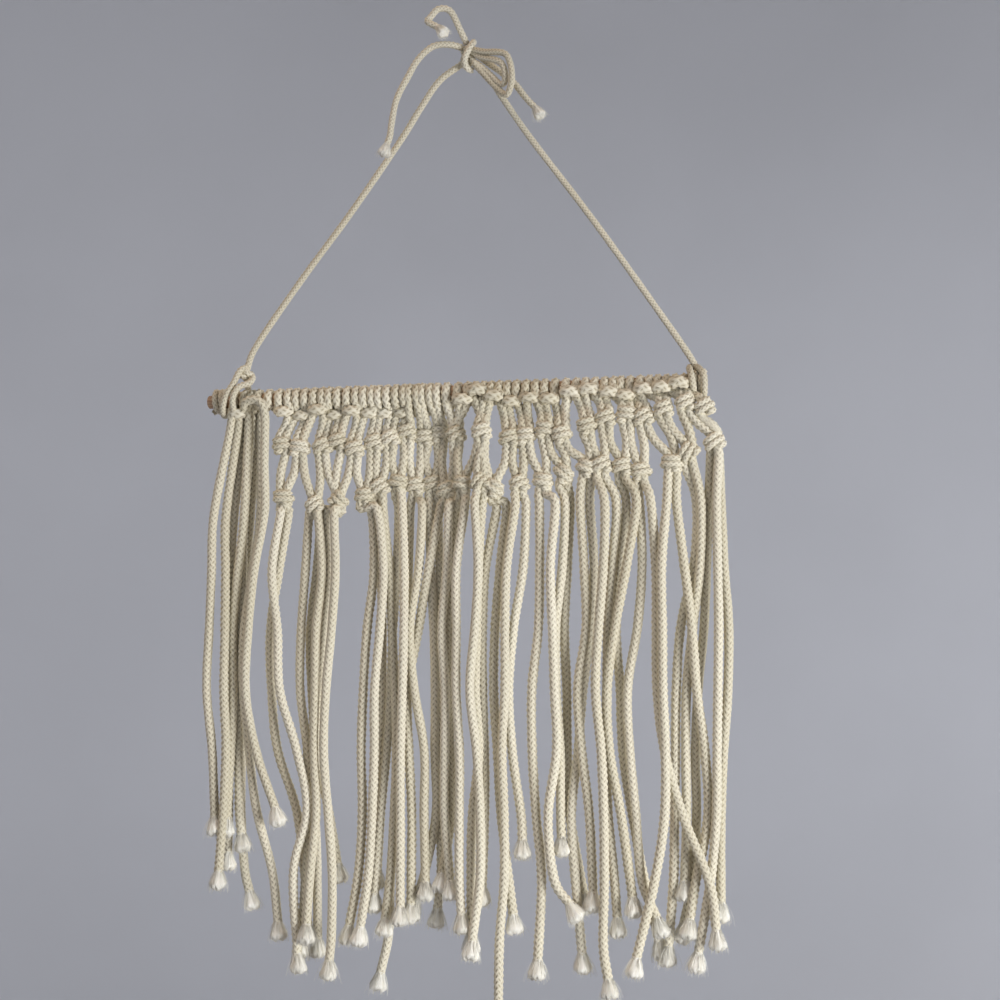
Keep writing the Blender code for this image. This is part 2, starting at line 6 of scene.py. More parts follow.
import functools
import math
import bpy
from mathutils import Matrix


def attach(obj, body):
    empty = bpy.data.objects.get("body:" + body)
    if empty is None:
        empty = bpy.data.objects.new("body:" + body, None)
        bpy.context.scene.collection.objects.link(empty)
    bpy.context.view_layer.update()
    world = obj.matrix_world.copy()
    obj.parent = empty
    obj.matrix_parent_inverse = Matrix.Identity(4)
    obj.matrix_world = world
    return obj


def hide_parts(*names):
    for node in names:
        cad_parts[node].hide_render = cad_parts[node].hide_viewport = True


bl_info = {
    "name": "Macrame Wall Hanging",
    "version": (1, 0, 0),
    "blender": (4, 5, 0),
    "location": "View3D > Sidebar > Macrame",
    "description": "Builds the braided cords, knots and frayed ends of a macrame wall hanging",
    "category": "Add Mesh",
}

import bmesh
import bpy
import numpy as np
from mathutils import Matrix, Vector

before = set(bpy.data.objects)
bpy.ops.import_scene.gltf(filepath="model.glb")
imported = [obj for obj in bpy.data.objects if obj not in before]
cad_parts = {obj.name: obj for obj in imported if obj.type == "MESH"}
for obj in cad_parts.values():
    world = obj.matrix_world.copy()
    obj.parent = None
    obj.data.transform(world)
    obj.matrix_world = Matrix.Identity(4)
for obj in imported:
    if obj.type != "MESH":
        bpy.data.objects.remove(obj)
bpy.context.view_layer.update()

MM = 0.001
ROD_RADIUS = 4.0
ROD_Z = -206.0  # height of the rod's middle
WALL_Y = 9.0  # the middle of a strand comes no nearer to the wall
BIGHT_ORBIT = 10.6  # how far a lark's head's bight lies from the rod's middle

STRAND_GAP = 5.4  # room between the middles of two strands side by side
FIRST_LEVEL = 70.0  # drop below the rod of the first column of the strands' tables
LEVEL_STEP = 35.0  # drop from one column to the next
LAST_LEVEL_GAP = 12.0  # no column is used closer than this to a strand's end
ROOT_SPREAD = 2.6  # how far a strand leaves its knot beside the knot's middle
FRAY_LENGTH = 12.0

SPREAD_ROUNDS = 400  # rounds in which crossing strands are moved apart and smoothed
SETTLE_ROUNDS = 60  # further rounds in which they are moved apart alone
SPREAD_PUSH = 0.3  # share of what is short that a round moves a strand
SPREAD_SMOOTH = 0.08
SPREAD_ROUND = 4  # how square the room round a strand is
SAME_DEPTH = 0.01  # puts the later of two strands at one depth behind the other

# Lark's heads along the rod: x, and how far its bight is turned down from the front, in degrees.
LARKS_HEADS = (
    (-142.5, 55), (-126.5, 34), (-113, 53), (-103, 78), (-91.5, 51), (-82.5, 84), (-70.5, 62),
    (-60.5, 80), (-51.5, 90), (-40.5, 92), (-32.5, 114), (-24.5, 124), (-15.5, 129), (-1.5, 32),
    (8, 5), (17.5, 26), (27.5, 48), (39, 37), (50, 43), (63, 22), (74, 16), (85.5, 28), (94.5, 42),
    (106, 22), (116, 20), (126, 8),
)

# First row of knots: x, drop below the rod's middle, and the numbers of the lark's heads (from 0) that
# its left and its right cord come from.
FIRST_ROW = (
    (-113.5, 29, 2, 3), (-102.5, 31, 3, 4), (-88.5, 31, 4, 5), (-79, 28, 5, 6), (-68.5, 33, 6, 7),
    (-57, 29, 7, 8), (-47.5, 27, 8, 9), (-37.5, 23, 9, 10), (-27.5, 26, 10, 11), (-18, 24, 11, 12),
    (-6.5, 26, 12, 13), (11, 26, 14, 15), (27.5, 30, 15, 16), (37, 29, 16, 17), (48.5, 26, 17, 18),
    (58.5, 29, 18, 19), (73.5, 25, 19, 20), (84, 21, 20, 21), (96, 19, 21, 22), (106, 21, 22, 23),
    (117.5, 17, 23, 24), (130, 14, 24, 25), (141, 17, 25, 25),
)

# Second row of knots: x, drop, tilt in degrees, and the first-row knots (from 0) above it.
SECOND_ROW = (
    (-112.5, 61, 10, 0, 1), (-92.5, 66, -15, 1, 2), (-78, 63, 40, 3, 4), (-62.5, 61, 20, 4, 5),
    (-53.5, 56, -10, 5, 6), (-42.5, 53, 30, 6, 7), (-32.5, 55, 0, 7, 8), (-22.5, 54, 10, 8, 9),
    (-12.5, 58, -10, 9, 10), (-1.5, 56, 15, 10, 11), (10.5, 56, -30, 11, 11), (18, 59, 40, 11, 12),
    (33, 57, -20, 12, 13), (47, 56, 20, 13, 14), (59, 52, 60, 14, 15), (72.5, 49, 40, 15, 16),
    (81.5, 48, -15, 16, 17), (93.5, 49, 10, 17, 18), (104, 52, -20, 18, 19), (122, 48, 15, 19, 20),
    (131.5, 42, -45, 20, 21), (146, 37, -15, 21, 22),
)

# Fringe of the knotted work: the second-row knot a strand leaves (from 1), side of the knot, how far
# back its top and its end lie from that knot, drop of its end, then x at each column.
FRINGE = (
    (1, -1, 1, 2, 339, (-113, -118, -114, -112, -101, -94, -102, -98, -100)),
    (1, 1, -1, 5, 324, (-110, -116, -121, -120, -116, -104, -99, -96)),
    (2, -1, 3, 1, 331, (-97, -99, -101, -101, -96, -95, -96, -99)),
    (2, 1, -2, -2, 322, (-90, -87, -90, -90, -90, -88, -91, -93)),
    (3, -1, 2, 5, 332, (-86, -85, -88, -90, -93, -93, -92, -92)),
    (3, 1, -5, -6, 342, (-79, -78, -80, -83, -84, -81, -78, -78, -80)),
    (3, 0, 7, 8, 289, (-90, -94, -98, -97, -94, -86, -78)),
    (4, -1, -1, 0, 323, (-58, -56, -60, -62, -63, -62, -64, -71)),
    (4, 1, -3, -3, 323, (-53, -49, -51, -54, -54, -55, -57, -63)),
    (5, 1, -1, 0, 318, (-51, -47, -45, -43, -42, -43, -45, -49)),
    (5, -1, 5, 6, 292, (-56, -54, -53, -53, -54, -54, -56)),
    (6, -1, 3, 4, 305, (-43, -44, -46, -47, -49, -52, -56)),
    (6, 1, -3, -3, 311, (-39, -37, -36, -37, -38, -38, -38)),
    (7, -1, 1, 5, 350, (-36, -37, -38, -39, -42, -44, -47, -48, -55)),
    (7, 1, -1, 0, 297, (-27, -29, -34, -31, -25, -25, -24)),
    (8, -1, 0, -1, 307, (-24, -23, -21, -20, -20, -19, -26, -35)),
    (8, 1, 3, 2, 313, (-20, -19, -19, -19, -18, -18, -17, -20)),
    (9, -1, -1, 3, 310, (-17, -23, -30, -36, -35, -33, -33)),
    (9, 1, -3, -3, 296, (-10, -11, -14, -12, -12, -12, -8)),
    (10, -1, 2, 3, 292, (-7, -9, -11, -11, -10, -9, -16)),
    (10, 1, -4, -4, 314, (1, -4, -4, -4, -2, -2, -2, 0)),
    (11, -1, -4, -6, 328, (8, 10, 8, 5, 9, 11, 11, 5)),
    (11, 1, 1, 1, 325, (11, 9, 8, 7, 9, 5, 4, 4)),
    (12, -1, 4, 5, 299, (19, 12, 10, 10, 11, 11, 9)),
    (12, 1, 3, 4, 314, (25, 21, 18, 17, 19, 21, 25, 29)),
    (13, -1, -2, -1, 362, (31, 26, 25, 25, 23, 24, 24, 21, 20)),
    (13, 1, 0, -1, 272, (37, 35, 29, 26, 28, 33, 34)),
    (14, -1, -1, 0, 338, (45, 45, 44, 40, 40, 42, 45, 44, 41)),
    (14, 1, -4, -6, 306, (55, 52, 53, 54, 55, 50, 53, 69)),
    (15, -1, 1, 1, 270, (60, 58, 54, 54, 56, 56, 57)),
    (15, 1, 4, 4, 302, (62, 60, 58, 59, 59, 60, 65, 71)),
    (16, -1, 0, -1, 300, (69, 71, 72, 67, 69, 73, 75)),
    (16, 1, 3, 3, 334, (74, 76, 74, 69, 66, 62, 64, 67, 68)),
    (17, -1, -5, -6, 346, (84, 83, 80, 78, 81, 82, 82, 81, 85)),
    (17, 1, 0, 3, 314, (90, 87, 84, 83, 82, 83, 86, 88)),
    (18, -1, 4, 5, 326, (95, 91, 88, 90, 91, 96, 102, 112)),
    (18, 1, -4, -3, 302, (102, 96, 89, 84, 85, 91, 94, 100)),
    (19, -1, 0, 1, 313, (103, 104, 101, 95, 96, 99, 102, 114)),
    (19, 1, -4, -4, 318, (110, 112, 112, 112, 116, 126, 140, 144)),
    (20, -1, -3, -4, 334, (119, 116, 116, 116, 117, 116, 110, 101, 98)),
    (20, 1, 1, 1, 313, (124, 128, 132, 134, 138, 139, 132, 127)),
    (21, -1, 4, 5, 329, (135, 133, 125, 122, 121, 120, 119, 116, 114)),
    (21, 1, 1, 2, 293, (138, 137, 132, 128, 127, 127, 125)),
    (22, -1, 4, 5, 317, (142, 140, 138, 134, 132, 132, 129, 122)),
    (22, 1, -2, -3, 331, (147, 147, 147, 146, 145, 144, 140, 135, 126)),
    (22, 1, 3, 3, 304, (149, 150, 152, 151, 148, 146, 145)),
)

# Loose strands at the left: x on the bar, depth at the bar and at the end, drop of the end, then x at
# each column.
LOOSE = (
    (-146.5, -6, -2, 262, (-156, -157, -158, -159, -155, -152, -155)),
    (-142, -4, -3, 293, (-149, -148, -147, -147, -145, -146, -149)),
    (-141.5, 2, 4, 283, (-146, -148, -149, -148, -147, -147, -147)),
    (-135.5, -4, -1, 263, (-137, -141, -144, -143, -144, -146, -146)),
    (-135.5, 1, 3, 272, (-139, -140, -141, -141, -141, -140, -137)),
    (-134, 5, 7, 306, (-137, -140, -141, -141, -141, -141, -138, -132)),
    (-123.5, -8, -8, 256, (-123, -129, -132, -133, -126, -110)),
    (-129.5, 1, 3, 322, (-129, -133, -137, -137, -133, -128, -118, -113)),
)
LOOSE_ROOT = 6.0  # drop at which a loose strand leaves the bar
LOOSE_BEHIND = ((-185.0, 0.3), (-215.0, 0.2))  # behind the rod: angle, and how far past the wraps
LOOSE_DEPTHS = (-5.0, 4.0)  # least and most depth just under the rod
LOOSE_BEND = (0.7, 18.0)  # how much of its depth it has reached at which drop

# Routes of the thin cord: x, y, z of each point that shapes it.
LEFT_LEG = (
    (-3.5, 0.5, -4), (-18, 0, -14), (-30, -0.5, -31), (-43, -0.5, -51), (-73.5, -1, -93.5),
    (-104.5, -1, -133.5), (-132, -2, -172.5), (-138, -3, -188.5),
)
RIGHT_LEG = (
    (3.5, 0.5, -4), (14, 0, -16), (22, 0, -29), (39, -0.5, -55), (75, -1, -105.5), (106, -1.5, -151.5),
    (129, -2, -186.5), (136, -2, -198.5),
)
TOP_CURL = (
    (-0.5, -2, 7), (-2, -4, 11), (-4, -6, 15.5), (-6.5, -7, 21.5), (-9, -8, 26), (-12.5, -9, 27.8),
    (-17, -10, 27), (-20.5, -11, 22.5), (-22.5, -12, 19.3), (-15.5, -13, 14.5),
)
LEFT_TAIL = (
    (-3, -3, 4.5), (-10, -7, 5.6), (-19.5, -9, 4.6), (-28.5, -10, -3), (-35, -10, -13.5),
    (-42, -10, -27), (-45, -10, -41.5), (-46, -10, -49.5), (-48, -10, -55),
)
BOW_LOOP = (
    (4, -5, 2), (12, -8.5, -1.5), (20, -12, -3.6), (26, -14, -6), (29, -14.5, -11.5),
    (30.2, -14, -20), (28.6, -12, -26.5), (25.5, -9.5, -29.5), (19, -7, -23.5), (11, -5.5, -14),
    (4.5, -5, -6),
)
RIGHT_TAIL = (
    (4, 1, 2.5), (12, -1, -5), (22.5, -3, -14), (30, -4, -21.5), (36.5, -5, -30.5), (42.5, -5, -37.5),
)

# The hitches of the thin cord: from the left one's knot down over the wraps and round the rod and up
# again, and from the right leg round the rod.
LEFT_KNOT = (-138.5, -3.5, -190.0)
LEFT_KNOT_TILT = 55.0
LEFT_LOOP = (
    (-137.5, -4, -186), (-140, -8.5, -189), (-143, -11, -197), (-147, -12, -204), (-150, -10, -211),
    (-152, -3, -215), (-152, 4, -213),
)
LEFT_RETURN = (
    (-140.5, 4, -188), (-141.5, 9.5, -198), (-142.5, 9.5, -209), (-143, 2, -217), (-143.4, -7, -214),
    (-143, -12, -207), (-140, -11.5, -200), (-134, -8, -196.5), (-134, -3, -192), (-138, 0, -189),
)
RIGHT_LOOP = (
    (134.5, -1, -197), (138, -6, -199.5), (140.5, -9, -204), (140.8, -8.5, -211), (139.5, -3, -216),
    (138, 4, -214.5), (136, 8, -208), (134, 7.5, -201), (132, 2, -197), (132, -5, -199),
    (133.5, -9, -204), (134.5, -8, -211), (134, -1, -214.5),
)
TIE_CROSSING = (
    (2, 2, 8.5), (4, -3, 7.5), (3.2, -6.2, 3.5), (0.8, -6.8, -0.5), (-0.8, -6.2, -5), (0.3, -5, -9),
    (2.5, -1, -9.5),
)
TIE_KNOTS = (((0.0, 0.0, 2.5), -10.0), ((-0.5, 0.0, -3.0), 12.0))  # middle and tilt in degrees
SECOND_BOW_LOOP = (
    (3, -3, 1), (11, -7, -4.5), (18, -10.5, -7.5), (23, -12, -10.5), (25.4, -12, -16),
    (24.6, -10, -22.5), (21, -8, -21.5), (15, -6, -15), (8.5, -5, -8.5), (3, -4, -4),
)
# Turns of the thin cord round the rod's ends: from x to x, number, and angle of the start in degrees.
LEFT_WINDING = (-151.0, -159.6, 2.2, -190.0)
RIGHT_WINDING = (132.0, 139.6, 2.0, -100.0)
# The tie's three ends: name of the piece, route, and the solid it stands for.
TIE_TAILS = (
    ("tie_curl_cord", TOP_CURL, "tie_curl"),
    ("tie_left_cord", LEFT_TAIL, "tie_tail_left"),
    ("tie_right_cord", RIGHT_TAIL, "tie_tail_right"),
)
# Pieces of the strands that hang free: name, the solid it stands for, and how many it holds.
STRAND_PIECES = (
    ("loose_cords", "loose_strands", 8), ("fringe_left", "macrame", 16),
    ("fringe_middle", "macrame", 15), ("fringe_right", "macrame", 15),
)

SIDES = 16  # points round a cord
CARRIERS = 4  # crossings round a cord in one row of its braid
ROW_SHARE = 0.32  # length of a braid row, in cord diameters
YARN_LEAN = 0.52  # how far the yarns lean along the cord between two crossings, in rows
STOUT_SHARE = 0.26  # how much thicker a lark's head is across its front
STOUT_LENGTH = 4.6  # how far from there it is about as thick as elsewhere
NECK_SHARE = 0.62  # how thin a cord is drawn inside a knot
NECK_LENGTH = 3.2  # how far from its end
SWELLS = ((0.02, 0.21), (0.015, 0.57))  # slow swellings of a cord: size, and turn from row to row
CURVE_POINTS = 12  # points between two that shape a route

WRAP_RADIUS = 5.2  # from the rod's middle to the middle of a wrap
WRAP_SINK = (0.9, 2.2)  # how far the wraps hang below the rod's middle at its two ends
WRAP_OFFSETS = (2.4, 3.6)  # least and most a wrap stands beside its head's middle
WIDEST_GAP = 8.6  # room between two heads' wraps that one more turn fills
# One side of a bight: x beside its middle, how much further round the rod, and how far past its orbit.
BIGHT_SIDE = ((0.0, -0.05, 0.4), (2.3, 0.03, 0.1), (4.0, 0.18, -2.0), (3.5, -0.1, -4.0))
TAIL_DROP = 7.4  # how far a loose strand has fallen under the rod's middle
TAIL_ORBIT = 6.9  # how far a tail lies from the rod's middle where it leaves the rod
TAIL_INSET = 1.5  # how far beside a knot's middle a tail goes into it
TAIL_BESIDE = (2.7, 2.6)  # how far beside its head's middle a tail lies under the rod and leaves it
TAIL_BOW = (0.55, 0.7, 0.6)  # its bow: share of its way, sideways and back
KNOT_ENTRY = (5.0, -1.5)  # heights at which a cord comes over a knot and ends in it
TAIL_LAG = 36.0  # how much further round than its bight a head's tail leaves the rod, in degrees
TAIL_TURN = 50.0  # how far a tail turns on the rod before it leaves, in degrees
LEAST_TAIL = 46.0  # least angle at which a tail leaves the rod, in degrees
BEHIND_BAR = 95.0  # a bight turned further than this lies behind its tails
WRAP_SUNK = 1.0  # how deep a wrap's end goes where no tail leaves it
WRAP_START = 0.42  # how far before the bight a wrap starts, in radians
WRAP_STEP = math.radians(30)
WRAP_END = math.radians(-226)
SPARE_START = math.radians(100)  # where a spare turn starts and ends
SPARE_STEPS = 12
SPARE_ADVANCE = 0.05  # how far a spare turn moves along the rod from point to point
ARCH_HEAD = 1  # the head (from 0) whose bight runs on as a loose strand's arch
ARCH_STRAND = 6  # its place among the loose strands (from 0)
ARCH_FOOT = (2.4, 40.0, 0.6)  # its wraps' feet: beside, further round in degrees, and how deep
ARCH = (  # the arch: x beside its head, depth and drop below the rod's middle
    (-11.5, -4.5, 6.5), (-10.0, -9.5, 3.5), (-5.0, -11.6, 1.6), (0.8, -12.0, 2.8), (3.6, -11.2, 9.0),
    (3.6, -9.6, 20.0), (3.2, -8.6, 42.0),
)

KNOT_TURNS = 2.1
KNOT_PITCH = 3.3  # from one turn to the next
KNOT_FRONT = 0.2  # share of a turn before the first crossing in front
KNOT_REACH = (4.5, 3.4)  # how far a turn lies from the knot's middle, across and in depth
KNOT_STEPS = 30
KNOT_GROWTH = (0.94, 1.1)  # least and most size of a knot
KNOT_LUMPS = (0.92, 1.14)  # least and most of its uneven width
KNOT_LUMP_COUNT = 8
KNOT_LUMP_RATE = 3  # lumps to a turn
KNOT_LEAN = (-20.0, 9.0)  # how a knot leans besides its given tilt, in degrees
KNOT_TAPER = 0.16  # how much closer its first and last turns lie
KNOT_SAME_HAND = 0.8  # share of the knots that are wound the same way
KNOT_TUCK = (0.8, 0.6, 0.8)  # where its ends are tucked in: across, in depth, and share of its height
FIRST_ROW_TILT = -6.0
# How a strand leaves its knot: beside the knot's middle, share of how far back it goes, and height.
KNOT_LEAD = ((1.1, 0.5, 1.5), (1.6, 1.0, -3.0), (2.4, 1.6, -7.5))
LEAD_BACK = (-2.0, 2.5)  # least and most it goes back there
# The thin cord's knots.
SMALL_KNOT_TURNS = 1.9
SMALL_KNOT_STEPS = 24
SMALL_KNOT_REACH = (2.9, 2.6)
SMALL_KNOT_PITCH = 0.9  # in diameters of the thin cord
SMALL_KNOT_FRONT = 0.45
# The thin cord's turns round the rod's ends.
WINDING_STEPS = 12  # points to a turn
WINDING_ROOM = 0.1  # room between the rod and the thin cord
NET_CORD_BOW = (0.4, 2.2)  # least and most that a cord of the net bows sideways
NET_CORD_FRONT = 0.5  # how far it bows to the front
NET_LEAD = ((1.2, -1.5), (2.0, 5.0))  # its ends: beside a knot's middle, and on towards the other knot
SPARE_TAILS = ((13, 1, 10), (14, -1, 11))  # head, side and first-row knot of a third cord in a knot
SPARE_NET_CORDS = ((2, 2, -1), (22, 21, 1))  # first-row knot, second-row knot and side

# The fibres of an opened end.
FIBRE_SIDES = 3
FIBRE_STATIONS = 4  # points along a fibre
FIBRE_RADIUS = 0.12
FIBRE_REACH = (0.65, 1.12)  # least and most length of a fibre, as a share of the tuft's
FIBRE_SPREAD = 0.1  # how unevenly the fibres spread
FIBRE_FLARE = 0.46  # how much further the outer ones spread
FIBRE_CURL = 0.12
FIBRE_RELIEF = 0.6  # height that the yarn's colour reads
FIBRE_START = 0.9  # how far out of the cord's middle a fibre may start, in radii
FIBRE_BOW = (1.35, 0.55)  # how a fibre turns out at first and how it bends back
FIBRE_ROW_LENGTH = 0.1  # keeps the yarn pattern running along a fibre
END_POINTS = 5  # points of the route that give an end its direction
END_WEIGHT = np.array([0.0, 0.0, -0.35])  # bends an opened end down
# The ridged body of an opened end.
CORE_SIDES = 30
CORE_ROWS = 9
CORE_NECK = 0.9  # how wide a tuft's core starts, in cord radii
CORE_FLARE = 1.2  # how much wider it is at its end, in cord radii
CORE_CLOSING = 0.75  # share of its length at which it starts to close
CORE_CLOSED = 0.8  # how much it closes
CORE_RIDGES = 0.11  # how far its ridges stand out
CORE_UNEVEN = 0.4  # how much a ridge changes along the core
# Lower relief paints shade between the core's ridges.
CORE_RELIEF = (0.25, 0.45)  # mean relief that the yarn's colour reads, and what a ridge adds
CORE_RAGS = 0.13  # how ragged its end is
CORE_SUNK = 1.2  # how deep it starts inside the cord
CORE_REACH = 0.93  # share of a tuft's length that its core takes
CORE_ROW_LENGTH = 0.015  # keeps the yarn pattern of a core running along it

# Seeds of the random draws, each of a heap of shapes; the numbered pieces count on from theirs.
SEEDS = {
    "heads": 7, "net": 8, "knots": 9, "strands": 11, "hanging_left": 17, "hanging_right": 18,
    "tie_ends": 27, "tails": 28, "bow": 31, "tie": 32, "frayed": 47,
}

# The cotton finishes: which colours the yarns have and which the painted shade in their hollows has,
# contrast and depth of the fibres.
COTTONS = {
    "braided_cotton": ("cotton", "cotton_painted_shade", 0.30, 0.25),
    "thin_braided_cotton": ("thin_cotton", "thin_painted_shade", 0.30, 0.2),
    "loose_fibres": ("fray", "cotton", 0.45, 0.25),
}
FIBRES_ACROSS = 70.0  # how fine the fibres are across and along the yarns
FIBRES_ALONG = 9.0
TONE_SHIFT = 40.0  # moves the fibres' pattern from cord to cord
TONE_SPREAD = 0.16
STAIN_SPREAD = 0.22
STAIN_SCALE = 14.0
COTTON_BUMP = 0.55  # strength of its relief
COTTON_SPECULAR = 0.25
WOOD_BUMP = 0.35
WOOD_BUMP_DEPTH = 0.2
GRAIN_SCALE = (12.0, 420.0, 420.0)
RING_MIDDLE = (0.0, 0.011, 0.196)  # moves the growth rings' middle off the rod's
RING_SCALE = 190.0

CAMERA_PLACE = (0.239, -0.959, -0.388)
CAMERA_YAW = 12.88
CAMERA_PITCH = 6.78
CAMERA_LENS = 61.05
CAMERA_SENSOR = 36.0
CAMERA_CLIP = (0.01, 50.0)
SKY_COLOUR = (0.95, 0.96, 1.0, 1.0)
NARROW = math.radians(80)
WIDE = math.pi
MIDDLE = (0.0, 0.0, -0.33)  # the middle of the hanging
LOW_MIDDLE = (0.0, 0.0, -0.42)  # the middle of the fringe
# The lamps in metres: name, place, aim, size, which power it has, colour and spread.
LAMPS = (
    ("key", (1.2, -0.8, -0.65), LOW_MIDDLE, 0.6, "key_power", (0.95, 0.97, 1.0), NARROW),
    ("fill", (-0.7, -0.6, 1.6), MIDDLE, 0.8, "fill_power", (1.0, 0.72, 0.50), NARROW),
    ("back", (0.6, 1.9, 0.6), MIDDLE, 1.4, "back_power", (1.0, 0.97, 0.93), NARROW),
    ("wall_behind", (0.8, 0.9, -0.3), (0.3, 3.3, -0.4), 1.6, "wall_power", (0.94, 0.97, 1.0), WIDE),
    ("wall_in_front", (-0.8, -1.6, -0.3), (-0.3, -3.3, -0.4), 1.6, "wall_power", (0.94, 0.97, 1.0), WIDE),
)
# The floor and the round wall in metres.
BACKDROP_SIDES = 96
BACKDROP_SHADE = 0.94  # the darkest of its faint clouds
BACKDROP_ROUGHNESS = 0.95
FLOOR_Z = -1.25
FLOOR_RADII = (1.2, 2.4)
COVE_RADIUS = 0.9
COVE_STEPS = 8
WALL_RADIUS = 3.3
WALL_HEIGHTS = (0.6, 1.6, 2.6)


def catmull(before, start, end, after, t):
    """A Catmull-Rom curve's value between start and end."""
    bend = (2 * before - 5 * start + 4 * end - after) * t * t
    twist = (3 * start - before - 3 * end + after) * t * t * t
    return (2 * start + (end - before) * t + bend + twist) / 2


def smooth_route(points, step):
    """Points at even steps on a smooth curve through the given points."""
    given = np.array(points, dtype=float)
    ends = np.vstack([2 * given[0] - given[1], given, 2 * given[-1] - given[-2]])
    share = np.linspace(0.0, 1.0, CURVE_POINTS + 1)[:-1, None]
    spans = [catmull(*ends[k:k + 4], share) for k in range(len(given) - 1)]
    dense = np.vstack(spans + [given[-1:]])
    lengths = np.linalg.norm(np.diff(dense, axis=0), axis=1)
    run = np.concatenate([[0.0], np.cumsum(lengths)])
    count = max(4, int(round(run[-1] / step)) + 1)
    even = np.linspace(0.0, run[-1], count)
    return np.stack([np.interp(even, run, dense[:, axis]) for axis in range(3)], axis=1)


def frames_along(route):
    """The direction of a route at each point, and two directions square to it that don't twist."""
    ahead = np.gradient(route, axis=0)
    ahead /= np.linalg.norm(ahead, axis=1, keepdims=True)
    start = np.array([0.0, 1.0, 0.0])
    if abs(ahead[0] @ start) > 0.9:
        start = np.array([1.0, 0.0, 0.0])
    last = np.cross(ahead[0], start)
    side = np.zeros_like(ahead)
    for k, direction in enumerate(ahead):
        last = last - direction * (last @ direction)
        last = last / np.linalg.norm(last)
        side[k] = last
    return ahead, side, np.cross(ahead, side)


def ring_points(middles, across, other, radius, turns):
    """Rings of points round each middle, at the given turns."""
    first = across[:, None, :] * np.cos(turns)[None, :, None]
    second = other[:, None, :] * np.sin(turns)[None, :, None]
    return middles[:, None, :] + radius[:, :, None] * (first + second)


class Heap:
    """Shapes gathered into one mesh, with the values that its material reads."""

    def __init__(self, seed):
        self.rng = np.random.default_rng(seed)
        self.points = []
        self.faces = []
        self.uvs = []
        self.relief = []
        self.tone = []
        self.count = 0

    def loft(self, rings, relief, tone, row_length):
        """Adds a closed loft through rings of points, cut along the higher diagonal of each patch.

        row_length is the length of a row, in turns round the loft.
        """
        rows, sides, _ = rings.shape
        first = self.count
        self.points.append(rings.reshape(-1, 3))
        self.relief.append(np.broadcast_to(relief, (rows, sides)).reshape(-1))
        self.tone.append(np.full(rows * sides, tone))
        self.count += rows * sides
        row, side = np.meshgrid(np.arange(rows - 1), np.arange(sides), indexing="ij")
        after = (side + 1) % sides
        level = np.broadcast_to(relief, (rows, sides))
        down = level[row, side] + level[row + 1, after]
        falling = down >= level[row, after] + level[row + 1, side]
        corners = np.stack([row * sides + side, row * sides + after,
                            (row + 1) * sides + after, (row + 1) * sides + side], axis=-1)
        across = np.stack([side, side + 1, side + 1, side], axis=-1) / sides
        along = np.stack([row, row, row + 1, row + 1], axis=-1) * row_length
        pick = np.where(falling[..., None], [0, 1, 2, 0, 2, 3], [1, 2, 3, 1, 3, 0])
        triangles = np.take_along_axis(corners, pick, axis=-1).reshape(-1, 3) + first
        self.faces.extend(triangles.tolist())
        uv = np.stack([np.take_along_axis(across, pick, axis=-1),
                       np.take_along_axis(along, pick, axis=-1)], axis=-1)
        self.uvs.append(uv.reshape(-1, 2))
        last = first + (rows - 1) * sides
        self.faces.append(list(range(first + sides - 1, first - 1, -1)))
        self.faces.append(list(range(last, last + sides)))
        self.uvs.append(np.zeros((2 * sides, 2)))

    def piece(self, name, finish, slot, *nodes):
        """The gathered shapes as one object that rides on the hanging and stands for its solids."""
        mesh = bpy.data.meshes.new(name)
        points = np.vstack(self.points) * MM
        mesh.from_pydata(points.tolist(), [], self.faces)
        layer = mesh.uv_layers.new(name="CordUV")
        layer.data.foreach_set("uv", np.vstack(self.uvs).astype(np.float32).reshape(-1))
        for label, values in (("relief", self.relief), ("tone", self.tone)):
            attribute = mesh.attributes.new(label, "FLOAT", "POINT")
            attribute.data.foreach_set("value", np.concatenate(values).astype(np.float32))
        mesh.shade_smooth()
        mesh.materials.append(finish)
        made = bpy.data.objects.new(name, mesh)
        bpy.context.scene.collection.objects.link(made)
        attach(made, "root")
        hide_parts(*nodes)
        return made


def drawn_in(rows, step, necks):
    """How thick a cord is along its length: thinner where it is drawn into a knot."""
    along = np.arange(rows) * step
    thick = np.ones(rows)
    for drawn, away in zip(necks, (along, along[::-1])):
        if drawn:
            thick *= 1 - (1 - NECK_SHARE) * np.exp(-(away / NECK_LENGTH) ** 4)
    return thick


def braided_cord(heap, points, diameter, sizes, necks=(False, False), stout=None):
    """A braided cord along a route: its yarns stand out in turn, and it is thicker at stout."""
    step = diameter * ROW_SHARE
    route = smooth_route(points, step)
    ahead, side, other = frames_along(route)
    rows = len(route)
    turn = 2 * math.pi * np.arange(SIDES) / SIDES
    spin = heap.rng.uniform(0, 2 * math.pi)
    raised = np.cos(CARRIERS * turn)[None, :] * np.cos(math.pi * np.arange(rows))[:, None]
    swell = 1 + sum(size * np.sin(np.arange(rows) * rate + spin) for size, rate in SWELLS)
    swell *= drawn_in(rows, step, necks)
    if stout is not None:
        away = np.linalg.norm(route - stout, axis=1)
        swell *= 1 + STOUT_SHARE * np.exp(-(away / STOUT_LENGTH) ** 4)
    radius = diameter / 2 * swell[:, None] * (1 + sizes.braid_relief * (raised - 0.5))
    rings = ring_points(route, side, other, radius, turn + spin)
    lean = np.sin(CARRIERS * turn) * YARN_LEAN * step
    rings = rings + ahead[:, None, :] * lean[None, :, None]
    # The relief also paints shade into the hollows between the yarns.
    heap.loft(rings, raised, heap.rng.uniform(0, 1), ROW_SHARE / math.pi)
    return route


